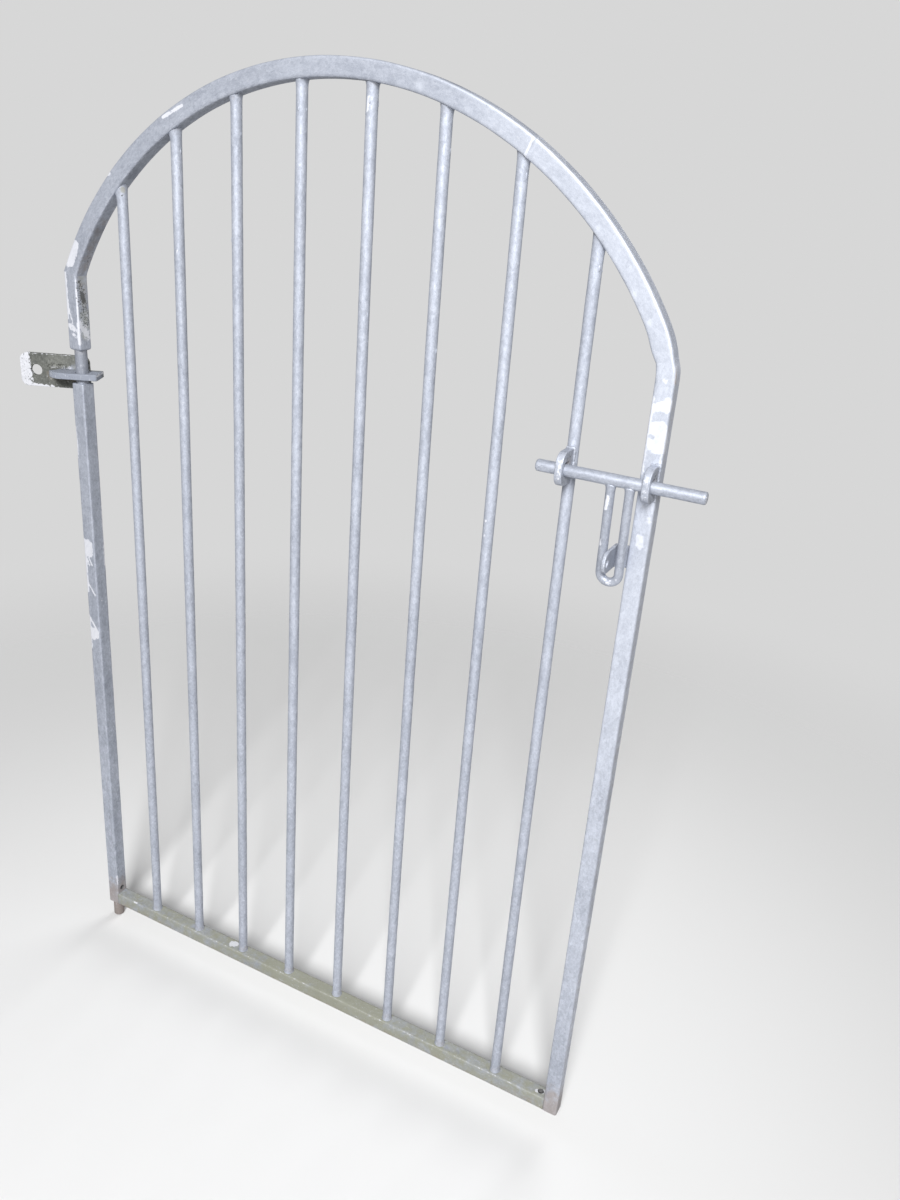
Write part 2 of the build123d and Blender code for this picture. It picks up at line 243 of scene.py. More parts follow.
MARKS = {
    "hinge_stile_lower": (
        (BLEACH_AND_LIGHT, (-9, -13, 791), (-9, -13, 768), 8),
        (BLEACH_AND_LIGHT, (-1, -13, 790), (0, -13, 770), 8.5),
        (BLEACH_AND_LIGHT, (4, -13, 789), (5, -13, 772), 6),
        (BLEACH_AND_LIGHT, (-8, -13, 763), (-1, -13, 747), 2.2),
        (BLEACH_AND_LIGHT, (-2, -13, 762), (5, -13, 749), 2.2, 0.9),
        (BLEACH_AND_LIGHT, (-13, -13, 770), (-13, -13, 735), 9),
        (BLEACH_AND_LIGHT, (-13, -13, 735), (-12, -13, 698), 7.5),
        (BLEACH_AND_LIGHT, (-9, -13, 714), (7, -13, 692), 2.3),
        (BLEACH_AND_LIGHT, (-13, -13, 650), (4, -13, 625), 2.8),
        (BLEACH_AND_LIGHT, (-3, -13, 619), (-3, -13, 606), 7.5),
        (BLEACH_AND_LIGHT, (4, -13, 621), (5, -13, 610), 7),
        (BLEACH_AND_LIGHT, (-9, -13, 624), (-6, -13, 614), 3, 0.8),
        (BLEACH_AND_LIGHT, (-13, -13, 640), (-13, -13, 585), 7, 0.9),
        (BLEACH_AND_LIGHT, (-13, -13, 995), (-13, -13, 945), 6.5, 0.85),
        (BLEACH_AND_LIGHT, (12, 12, 856), (12, 12, 746), 4.2, 0.8),
        (BLEACH_AND_LIGHT, (12, -11, 70), (12, -11, 48), 2.6, 0.7),
        (BLEACH_AND_LIGHT, (13, -3, 680), None, 2.6, 0.8),
        (STAIN_AND_SHADE, (0, 0, 0), (0, 0, 12), 70, 0.72),
        (PIT_AND_SHADE, (13, 0, 905), None, 5, 0.4),
        (TONE_LIGHT_AND_SHADE, (0, 0, 40), (0, 0, 500), 260, -0.08),
        # painted shade on the side that faces the latch stile
        (TONE_LIGHT_AND_SHADE, (20, 0, 60), (20, 0, 1060), 18, -0.10),
    ),
    "hinge_stile_upper": (
        (BLEACH_AND_LIGHT, (-9, -13, 1197), (0, -13, 1168), 2.0, 0.85),
        (BLEACH_AND_LIGHT, (-7, -13, 1163), (4, -13, 1156), 7, 0.66),
        (BLEACH_AND_LIGHT, (-2, -13, 1150), (6, -13, 1147), 6, 0.60),
        (BLEACH_AND_LIGHT, (11.6, -11.6, 1245), (11.6, -11.6, 1216), 1.9, 0.5),
        (BLEACH_AND_LIGHT, (11.6, -11.6, 1218), (11.6, -11.6, 1170), 2.2, 0.85),
        (BLEACH_AND_LIGHT, (12, -12.5, 1168), (12, -12.5, 1136), 4.2),
        (BLEACH_AND_LIGHT, (-12.5, -13, 1243), (-12.5, -13, 1178), 8, 0.95),
        (BLEACH_AND_LIGHT, (13, -8, 1168), (13, 6, 1146), 10, 0.64),
        (BLEACH_AND_LIGHT, (13, 6, 1205), (13, 6, 1150), 9, 0.34),
        (PIT_AND_SHADE, (13, -4, 1226), (13, 4, 1168), 15, 0.42),
        (PIT_AND_SHADE, (13, -1, 1213), (13, 1, 1203), 7, 0.85),
        (PIT_AND_SHADE, (13, -6, 1232), None, 3.4, 0.9),
        (BLEACH_AND_LIGHT, (13, -7, 1230), None, 1.8),
        (FILM, (13, 2, 1260), (13, 2, 1150), 15, 0.50),
        (STAIN_AND_SHADE, (13, 0, 1250), (13, 3, 1190), 14, 0.32),
    ),
    "latch_stile": (
        (BLEACH_AND_LIGHT, (967, -13, 1183), (985, -13, 1194), 12, 0.95),
        (BLEACH_AND_LIGHT, (967, -13, 1176), (984, -13, 1144), 19, 0.88),
        (BLEACH_AND_LIGHT, (966, -13, 1148), (984, -13, 1138), 12, 0.9),
        (BLEACH_AND_LIGHT, (962, -13, 1175), (976, -13, 1180), 7, -1.5),
        (BLEACH_AND_LIGHT, (964, -13, 1154), (971, -13, 1153), 3.5, -0.9),
        (BLEACH_AND_LIGHT, (966, -13, 1117), (984, -13, 1124), 12, -1.3),
        (BLEACH_AND_LIGHT, (963, -13, 1200), (963, -13, 1107), 5, 0.8),
        (BLEACH_AND_LIGHT, (986, -13, 1130), (986, -13, 1085), 4, 0.7),
        (BLEACH_AND_LIGHT, (984, -13, 1064), (984, -13, 1046), 6, 0.45),
        (BLEACH_AND_LIGHT, (975, -13, 1023), (976, -13, 1012), 7, 0.82),
        (BLEACH_AND_LIGHT, (976, -13, 1222), None, 5, 0.5),
        (BLEACH_AND_LIGHT, (979, -13, 948), None, 3.2, 0.7),
        (BLEACH_AND_LIGHT, (963, -13, 1060), (963, -13, 120), 3, 0.30),
        # painted light: the latch stile paler toward its top
        (TONE_LIGHT_AND_SHADE, (975, 0, 1250), (975, 0, 820), 220, 0.30),
        (TONE_LIGHT_AND_SHADE, (975, 0, 700), (975, 0, 300), 120, 0.08),
        (STAIN_AND_SHADE, (975, 0, 0), (975, 0, 8), 70, 0.76),
        # painted shade tinted brown down the stile's outer side, and a painted shadow on it below the bend
        (STAIN_AND_SHADE, (988, 0, 1235), (988, 0, 60), 13, 0.3),
        (STAIN_AND_SHADE, (988, -9, 1250), (988, -9, 1222), 5, 0.75),
    ),
    "arch_bar": (
        (BLEACH_AND_LIGHT, (16, -13, 1287), (4, -13, 1264), 11, 1.1),
        (BLEACH_AND_LIGHT, (7, -13, 1273), (1, -13, 1262), 12, 1.0),
        (BLEACH_AND_LIGHT, (28, -13, 1275), (21, -13, 1250), 7, -0.9),
        (BLEACH_AND_LIGHT, (89, -13, 1392), (97, -13, 1397), 3.5),
        (BLEACH_AND_LIGHT, (205, -13, 1476), (240, -13, 1492), 3.5, 0.8),
        (BLEACH_AND_LIGHT, (765, -13, 1457), (775, -13, 1480), 2.6, 0.95),
        (TONE_LIGHT_AND_SHADE, (740, -13, 1493), None, 9, 0.45),
        (TONE_LIGHT_AND_SHADE, (914, -13, 1344), None, 8, 0.55),
        (TONE_LIGHT_AND_SHADE, (922, -13, 1315), None, 8, 0.65),
        (TONE_LIGHT_AND_SHADE, (946, -13, 1286), None, 8, 0.60),
        (TONE_LIGHT_AND_SHADE, (867, -13, 1385), None, 7, 0.50),
        (TONE_LIGHT_AND_SHADE, (617, -13, 1528), None, 8, 0.40),
        # painted shade on the arch's hinge side and painted light on its latch side
        (TONE_LIGHT_AND_SHADE, (10, 0, 1260), (130, 0, 1420), 120, -0.14),
        (TONE_LIGHT_AND_SHADE, (800, 0, 1450), (990, 0, 1240), 180, 0.28),
        # earth and pits under the arch beside the hinge mitre, partly painted shade
        (STAIN_AND_SHADE, (14, 0, 1252), (60, 0, 1330), 16, 0.42),
        (PIT_AND_SHADE, (16, 4, 1252), (36, 4, 1290), 11, 0.30),
        (PIT_AND_SHADE, (70, 0, 1345), (78, 0, 1352), 5, 0.5),
        (BLEACH_AND_LIGHT, (74, 0, 1349), None, 3),
    ),
    "bottom_rail": (
        (BLEACH_AND_LIGHT, (299, -1, 25), (304, 2, 25), 9, 1.05),
        (BLEACH_AND_LIGHT, (57, -12, 25), (62, -12, 25), 3.4, 0.8),
        (FILM, (430, 0, 25), (600, 0, 25), 60, 0.25),
        (FILM, (756, -8, 22), (762, -13, 8), 15, 0.4),
        (STAIN_AND_SHADE, (14, -13, 0), (960, -13, 0), 14, 0.24),
        (STAIN_AND_SHADE, (900, 0, 0), (962, 0, 0), 24, 0.36),
        (STAIN_AND_SHADE, (12, 0, 0), (60, 0, 0), 24, 0.34),
        # pale lines along the front top corner: worn zinc and a painted highlight
        (BLEACH_AND_LIGHT, (14, -12, 25), (960, -12, 25), 2.4, 0.34),
        (BLEACH_AND_LIGHT, (700, -12, 25), (940, -12, 25), 2.2, 0.42),
        (BLEACH_AND_LIGHT, (946, -3, 25), (958, 3, 25), 6.5, 0.62),
    ),
    "infill_bar_1": (
        (FILM, (116, -6, 1375), None, 7, 0.9),
        (PIT_AND_SHADE, (114, -6, 1366), None, 3, 0.5),
    ),
    "infill_bar_2": (
        (BLEACH_AND_LIGHT, (219, -8, 1296), None, 3),
    ),
    "infill_bar_5": (
        (BLEACH_AND_LIGHT, (541, -8, 1512), (540, -8, 1500), 3),
    ),
    "infill_bar_7": (
        (BLEACH_AND_LIGHT, (757, -8, 999), None, 3.5),
        (BLEACH_AND_LIGHT, (756, -8, 975), None, 2.5),
    ),
    "hinge_journal_pin": (
        (STAIN_AND_SHADE, (0, 0, 1124), (0, 0, 1128), 14, 0.5),
    ),
    "bottom_pivot_pin": (
        (STAIN_AND_SHADE, (0, 0, -35), (0, 0, 0), 26, 0.8),
    ),
}

# marks on the hinge bracket, from the eye's middle: along its plate, backward and up

BRACKET_MARKS = (
    # white zinc and painted sunlight on the plate's left end and along its lower edge
    (BLEACH_AND_LIGHT, (-103, 22, 27), (-101, 22, -27), 16, 0.80),
    (BLEACH_AND_LIGHT, (-108, 22, 24), (-108, 22, -24), 4, 0.9),
    (BLEACH_AND_LIGHT, (-90, 22, -28), (-58, 22, -29), 8, 0.66),
    (BLEACH_AND_LIGHT, (-60, 22, -29), (-20, 22, -29), 5, 0.5),
    # painted highlight along the plate's top edge
    (BLEACH_AND_LIGHT, (-108, 22, 28), (5, 22, 28), 3, 0.55),
    (BLEACH_AND_LIGHT, (-58, 20, 6), (-26, 21, 6), 9, 0.28),
    (TONE_LIGHT_AND_SHADE, (-50, 22, 14), (5, 22, 14), 20, 0.35),
    (FILM, (-44, -10, 0), (28, -18, 0), 22, 1.0),
    (FILM, (-30, 5, 5), (28, 5, 5), 22, 0.8),
    # a painted glint by the plate's far end, and a painted highlight along the tab's end
    (BLEACH_AND_LIGHT, (4, 22, 12), None, 5, 0.6),
    (BLEACH_AND_LIGHT, (28, -18, 3), (28, 20, 3), 2.5, 0.6),
    (PIT_AND_SHADE, (-104, 22, 22), (-100, 22, -22), 14, 0.20),
    (PIT_AND_SHADE, (-60, 22, 6), (-30, 20, 6), 11, 0.40),
    # earth-coloured painted shadow under the tab
    (STAIN_AND_SHADE, (-60, 23, -8), (0, 23, -8), 12, 0.4),
)


def straight_flow(place):
    """The surface pattern's coordinates on a piece that stands upright."""
    return place


def level_flow(place):
    """The surface pattern's coordinates on a piece that lies along the leaf."""
    return Vector((place.z, place.y, place.x))


def arch_flow(place):
    """The surface pattern's coordinates on the arch, which follow its bend."""
    arm = place - LEAF.centre
    return Vector((arm.xz.length, arm.y, math.atan2(arm.x, arm.z) * LEAF.middle_radius))


def paint(bm, marks, flow, flats):
    """Writes the marks, the way that the zinc ran, and the edges between a piece's flat sides."""
    bm.normal_update()
    painted = bm.verts.layers.float_color.new("marks")
    shaded = bm.verts.layers.float.new("tone")
    ran = bm.verts.layers.float_vector.new("flow")
    corner = bm.verts.layers.float.new("corner")
    for vert in bm.verts:
        values = [0.0] * 5
        for mark in marks:
            strength, before = mark_strength(mark, vert.co), values[mark.kind]
            values[mark.kind] = before + strength if mark.amount < 0 else max(before, strength)
        vert[painted] = values[:TONE_LIGHT_AND_SHADE]
        # the tone layer holds the zinc's tone together with painted light and shade
        vert[shaded] = values[TONE_LIGHT_AND_SHADE]
        vert[ran] = flow(vert.co)
        facing = min(1.0, max((abs(vert.normal.dot(flat)) for flat in flats), default=0.0))
        vert[corner] = 2 * facing * math.sqrt(1 - facing * facing)


# the way shapes are drawn out

def grow(bm, edges, moves):
    """Extrudes a ring once for each matrix, and applies the matrix to the new ring."""
    for move in moves:
        made = bmesh.ops.extrude_edge_only(bm, edges=edges)["geom"]
        verts = [part for part in made if isinstance(part, bmesh.types.BMVert)]
        fresh = set(verts)
        edges = [part for part in made if isinstance(part, bmesh.types.BMEdge) and set(part.verts) <= fresh]
        bmesh.ops.transform(bm, matrix=move, verts=verts)
    return edges


def run(bm, edges, along, stretches, pivot=None, turn=0.0):
    """Draws a ring out through stretches of (length, ring spacing).

    It goes straight along a direction, or turns about the pivot with along as the axis, when a
    stretch's length is measured at the radius given as turn.
    """
    for reach, spacing in stretches:
        count = max(1, round(reach / spacing))
        ring = edges + list({vert for edge in edges for vert in edge.verts})
        shift = Vector() if pivot else along * (reach / count)
        made = bmesh.ops.spin(bm, geom=ring, cent=pivot or Vector(), axis=along, dvec=shift,
                              angle=reach / turn if pivot else 0.0, steps=count, use_duplicate=False)
        edges = [part for part in made["geom_last"] if isinstance(part, bmesh.types.BMEdge)]
    return edges


def square_ring(bm, size, corner, place):
    """A square ring with rounded corners and a few points along each flat."""
    corner_steps, flat_cuts = 4, 8
    verts = bmesh.ops.create_circle(bm, cap_ends=True, radius=size * math.sqrt(0.5), segments=4,
                                    matrix=place @ TURN_CORNER)["verts"]
    bmesh.ops.bevel(bm, geom=verts, offset=corner, affect="VERTICES", segments=corner_steps,
                    profile=0.5, material=-1)
    flats = [edge for edge in bm.edges if edge.calc_length() > size / 2]
    bmesh.ops.subdivide_edges(bm, edges=flats, cuts=flat_cuts)
    bmesh.ops.delete(bm, geom=bm.faces[:], context="FACES_ONLY")
    return bm.edges[:]


def round_ring(bm, radius, place, segments=24):
    """A round ring."""
    verts = set(bmesh.ops.create_circle(bm, radius=radius, segments=segments, matrix=place)["verts"])
    return [edge for edge in bm.edges if set(edge.verts) <= verts]


def closed_run(bm, ring, along, stretches):
    """Draws a ring out straight, with a face at both ends."""
    bmesh.ops.edgeloop_fill(bm, edges=ring)
    bmesh.ops.edgeloop_fill(bm, edges=run(bm, ring, along, stretches))


def close_end(bm, edges, middle, along, radius, half, steps=4):
    """Rolls a ring over into a rounded end and closes it with a face."""
    moves, placed = [], Matrix()
    for step in range(1, steps + 1):
        angle = math.pi / 2 * step / steps
        shrink = 1 - radius * (1 - math.cos(angle)) / half
        target = (Matrix.Translation(middle + along * (radius * math.sin(angle)))
                  @ Matrix.Scale(shrink, 4) @ Matrix.Translation(-middle))
        moves.append(target @ placed.inverted())
        placed = target
    bmesh.ops.edgeloop_fill(bm, edges=grow(bm, edges, moves))


def cut_flat(bm, place, normal):
    """Cuts away what lies past a plane, closes the cut and keeps its rim sharp."""
    whole = bm.verts[:] + bm.edges[:] + bm.faces[:]
    made = bmesh.ops.bisect_plane(bm, geom=whole, plane_co=place, plane_no=normal, clear_outer=True)
    rim = [part for part in made["geom_cut"] if isinstance(part, bmesh.types.BMEdge)]
    bmesh.ops.edgeloop_fill(bm, edges=rim)
    for edge in rim:
        edge.smooth = False


def swell(place, size):
    """Smooth noise from -1 to 1 with waves of about a size."""
    return noise.noise(place / size)


def lumpy(place, share, size):
    """Noise round 1, by which a weld's height varies along it."""
    return 1 + share * swell(place, size)


def coat(bm, sizes, more=None):
    """Moves the skin in and out as a dipped zinc coat is, plus what more gives at a place."""
    bmesh.ops.recalc_face_normals(bm, faces=bm.faces)
    bm.normal_update()
    moves = []
    for vert in bm.verts:
        place = vert.co
        height = sizes.coat_swell * swell(place, COAT_WAVE) + sizes.coat_lump * swell(place, COAT_GRAIN)
        if more:
            height += more(place)
        moves.append(vert.normal * height)
    for vert, move in zip(bm.verts, moves):
        vert.co += move


def ridge(away, height, width):
    """Height of a weld's ridge at a distance from its middle line."""
    return height * math.exp(-(away / width) ** 2)


def link_object(name, data):
    """A new object in the scene."""
    made = bpy.data.objects.new(name, data)
    bpy.context.scene.collection.objects.link(made)
    return made


def object_from(bm, name):
    """Turns a drawn shape into an object."""
    mesh = bpy.data.meshes.new(name)
    bm.to_mesh(mesh)
    bm.free()
    return link_object(name, mesh)


def modified_mesh(piece):
    """The mesh that an object's modifiers make of it."""
    graph = bpy.context.evaluated_depsgraph_get()
    return bpy.data.meshes.new_from_object(piece.evaluated_get(graph))


def discard(holder):
    """Removes an object and its mesh."""
    mesh = holder.data
    bpy.data.objects.remove(holder)
    bpy.data.meshes.remove(mesh)


def melt(bm, voxel):
    """Runs overlapping closed shapes together on a fine grid, as weld and zinc do."""
    smooth_rounds = 4
    bmesh.ops.recalc_face_normals(bm, faces=bm.faces)
    holder = object_from(bm, "melt")
    grid = holder.modifiers.new("grid", "REMESH")
    grid.mode = "VOXEL"
    grid.voxel_size = voxel
    melted = modified_mesh(holder)
    joined = bmesh.new()
    joined.from_mesh(melted)
    discard(holder)
    bpy.data.meshes.remove(melted)
    for _ in range(smooth_rounds):
        bmesh.ops.smooth_vert(joined, verts=joined.verts, factor=0.5, use_axis_x=True, use_axis_y=True,
                              use_axis_z=True)
    return joined


def drill(piece, cutter):
    """Takes a closed shape out of a piece's mesh."""
    bmesh.ops.recalc_face_normals(cutter, faces=cutter.faces)
    holder = object_from(cutter, "cutter")
    cut = piece.modifiers.new("cut", "BOOLEAN")
    cut.operation = "DIFFERENCE"
    cut.solver = "EXACT"
    cut.object = holder
    drilled = modified_mesh(piece)
    piece.modifiers.remove(cut)
    whole, piece.data = piece.data, drilled
    name = whole.name
    bpy.data.meshes.remove(whole)
    drilled.name = name
    discard(holder)


def finish_piece(bm, name, body, slot, replaced=(), marks=(), flow=straight_flow, flats=()):
    """Makes the drawn shape a piece that rides on its body and wears its slot's finish.

    It wears the marks of the nodes that it stands for, and then the marks given.
    """
    bmesh.ops.recalc_face_normals(bm, faces=bm.faces)
    rows = [row for node in replaced for row in MARKS.get(node, ())]
    paint(bm, marks_from(LEAF.point, rows) + list(marks), flow, flats)
    for face in bm.faces:
        face.smooth = True
    piece = object_from(bm, name)
    piece.data.materials.append(finish(slot))
    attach(piece, body)
    if replaced:
        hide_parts(*replaced)
    return piece


# finishes

def put(tree, kind, inputs=None, **settings):
    """Adds a node to a tree, sets it and feeds its inputs with values or other sockets."""
    node = tree.nodes.new(kind)
    for name, value in settings.items():
        setattr(node, name, value)
    for name, value in (inputs or {}).items():
        if isinstance(value, bpy.types.NodeSocket):
            tree.links.new(value, node.inputs[name])
        else:
            node.inputs[name].default_value = value
    return node


def cleared(owner):
    """The node tree of a material or a world, emptied."""
    owner.use_nodes = True
    owner.node_tree.nodes.clear()
    return owner.node_tree


def math_node(tree, operation, *values):
    """The result of a sum on values or sockets, taken one after another."""
    total = values[0]
    for value in values[1:]:
        total = put(tree, "ShaderNodeMath", {0: total, 1: value}, operation=operation).outputs[0]
    return total


def plus(tree, *values):
    """Values or sockets added up."""
    return math_node(tree, "ADD", *values)


def times(tree, *values):
    """Values or sockets multiplied."""
    return math_node(tree, "MULTIPLY", *values)


def vector_math(tree, operation, inputs):
    """A node for a sum on vectors."""
    return put(tree, "ShaderNodeVectorMath", inputs, operation=operation)


def noise_node(tree, place, scale, detail, roughness):
    """A noise texture over a place."""
    return put(tree, "ShaderNodeTexNoise",
               {"Vector": place, "Scale": scale, "Detail": detail, "Roughness": roughness})


def attribute(tree, name):
    """A node that reads what was painted on the mesh."""
    return put(tree, "ShaderNodeAttribute", attribute_name=name, attribute_type="GEOMETRY")


def mix_colour(tree, share, first, second):
    """One colour laid over another by a mask."""
    node = put(tree, "ShaderNodeMix", {"Factor": share}, data_type="RGBA")
    for name, value in (("A", first), ("B", second)):
        socket = next(item for item in node.inputs if item.name == name and item.type == "RGBA")
        if isinstance(value, bpy.types.NodeSocket):
            tree.links.new(value, socket)
        else:
            socket.default_value = value
    return next(item for item in node.outputs if item.type == "RGBA")


def between(tree, value, low, high, to_low=0.0, to_high=1.0):
    """A value brought smoothly from one range to another."""
    inputs = {"Value": value, "From Min": low, "From Max": high, "To Min": to_low, "To Max": to_high}
    return put(tree, "ShaderNodeMapRange", inputs, interpolation_type="SMOOTHSTEP").outputs["Result"]


def group(name, values, outputs):
    """A new shader node group that takes a vector and named values, and its two end nodes."""
    tree = bpy.data.node_groups.new(name, "ShaderNodeTree")
    tree.interface.new_socket(name="Vector", in_out="INPUT", socket_type="NodeSocketVector")
    for label, value in values.items():
        socket = tree.interface.new_socket(name=label, in_out="INPUT", socket_type="NodeSocketFloat")
        socket.default_value = value
    for label in outputs:
        tree.interface.new_socket(name=label, in_out="OUTPUT", socket_type="NodeSocketFloat")
    return tree, tree.nodes.new("NodeGroupInput"), tree.nodes.new("NodeGroupOutput")


def zinc_coat_group():
    """Zinc blotches, runs, bright flecks and dark specks over a surface."""
    if "Zinc coat" in bpy.data.node_groups:
        return bpy.data.node_groups["Zinc coat"]
    tree, start, end = group("Zinc coat", {"Blotch Scale": 95.0, "Stretch": 0.6},
                             ["Tone", "Flecks", "Specks", "Grain"])
    vector, scale = start.outputs["Vector"], start.outputs["Blotch Scale"]
    stretch = put(tree, "ShaderNodeCombineXYZ", {"X": 1.0, "Y": 1.0, "Z": start.outputs["Stretch"]})
    long = vector_math(tree, "MULTIPLY", {0: vector, 1: stretch.outputs[0]}).outputs[0]
    bend = noise_node(tree, long, 170.0, 4.0, 0.6)
    shift = vector_math(tree, "SCALE", {0: bend.outputs["Color"], "Scale": 0.0075})
    bent = vector_math(tree, "ADD", {0: long, 1: shift.outputs[0]}).outputs[0]

    def blotch(factor, channel):
        size = times(tree, scale, factor)
        cells = put(tree, "ShaderNodeTexVoronoi", {"Vector": bent, "Scale": size})
        return put(tree, "ShaderNodeSeparateColor", {"Color": cells.outputs["Color"]}).outputs[channel]

    clouds = noise_node(tree, long, 20.0, 5.0, 0.62).outputs["Fac"]
    runs = noise_node(tree, bent, 330.0, 4.0, 0.7).outputs["Fac"]
    grain = noise_node(tree, vector, 900.0, 3.0, 0.6).outputs["Fac"]
    tone = times(tree, blotch(1.0, "Red"), 0.20)
    tone = plus(tree, tone, times(tree, blotch(2.2, "Green"), 0.20))
    tone = plus(tree, tone, between(tree, clouds, 0.34, 0.66, 0.12, 0.30))
    tone = plus(tree, tone, between(tree, runs, 0.40, 0.60, -0.10, 0.12))
    tone = plus(tree, tone, between(tree, grain, 0.32, 0.68, -0.09, 0.09))
    tree.links.new(tone, end.inputs["Tone"])
    bright = plus(tree, runs, times(tree, clouds, 0.16))
    tree.links.new(between(tree, bright, 0.70, 0.76), end.inputs["Flecks"])
    dots = noise_node(tree, vector, 430.0, 3.0, 0.6).outputs["Fac"]
    tree.links.new(between(tree, dots, 0.66, 0.71), end.inputs["Specks"])
    tree.links.new(grain, end.inputs["Grain"])
    return tree


def ragged_mask_group():
    """A soft painted amount turned into a mask with a ragged edge."""
    if "Ragged mask" in bpy.data.node_groups:
        return bpy.data.node_groups["Ragged mask"]
    values = {"Amount": 0.0, "Scale": 160.0, "Raggedness": 0.8, "Softness": 0.16}
    tree, start, end = group("Ragged mask", values, ["Mask"])
    edge = 0.44
    rough = noise_node(tree, start.outputs["Vector"], start.outputs["Scale"], 5.0, 0.65)
    centred = math_node(tree, "SUBTRACT", rough.outputs["Fac"], 0.5)
    torn = times(tree, centred, start.outputs["Raggedness"])
    total = plus(tree, start.outputs["Amount"], torn)
    half = times(tree, start.outputs["Softness"], 0.5)
    low, high = math_node(tree, "SUBTRACT", edge, half), plus(tree, edge, half)
    tree.links.new(between(tree, total, low, high), end.inputs["Mask"])
    return tree


def linear(display):
    """A display colour as the linear values that a node takes."""
    return (*Color(display).from_srgb_to_scene_linear(), 1.0)


class Finish(NamedTuple):
    """How one material slot differs from the others."""

    metallic: float
    rough: float
    deep: str = "zinc_deep"
    pale: str = "zinc_pale"
    blotch_scale: float = 120.0
    film: float = 0.0
    film_share: float = 0.55
    film_colour: str = "film"
    stain_and_shade: float = 0.0
    specks: float = 0.25
    shade: float = 1.0
    bump: float = 0.15
    spread: float = 0.75


FINISHES = {
    "galvanised_tube": Finish(0.50, 0.48),
    "galvanised_rail": Finish(0.20, 0.60, film=0.54, film_share=0.80, stain_and_shade=0.05, specks=0.5, shade=0.87),
    "galvanised_bar": Finish(0.38, 0.60, blotch_scale=150.0, shade=0.98, bump=0.10, spread=0.70),
    "galvanised_pin": Finish(0.40, 0.50, blotch_scale=150.0, shade=0.82),
    "stained_pin": Finish(0.15, 0.70, stain_and_shade=0.60, specks=0.8, shade=0.75),
    "weathered_bracket": Finish(0.15, 0.60, "patina_deep", "patina_pale", 150.0, film_share=0.9,
                                film_colour="zinc_deep", specks=0.6, bump=0.5, spread=1.0),
    "galvanised_bolt": Finish(0.50, 0.48, blotch_scale=150.0, specks=0.4, shade=0.95),
    "galvanised_fitting": Finish(0.40, 0.50, blotch_scale=150.0, specks=0.5, shade=0.95, bump=0.3),
}


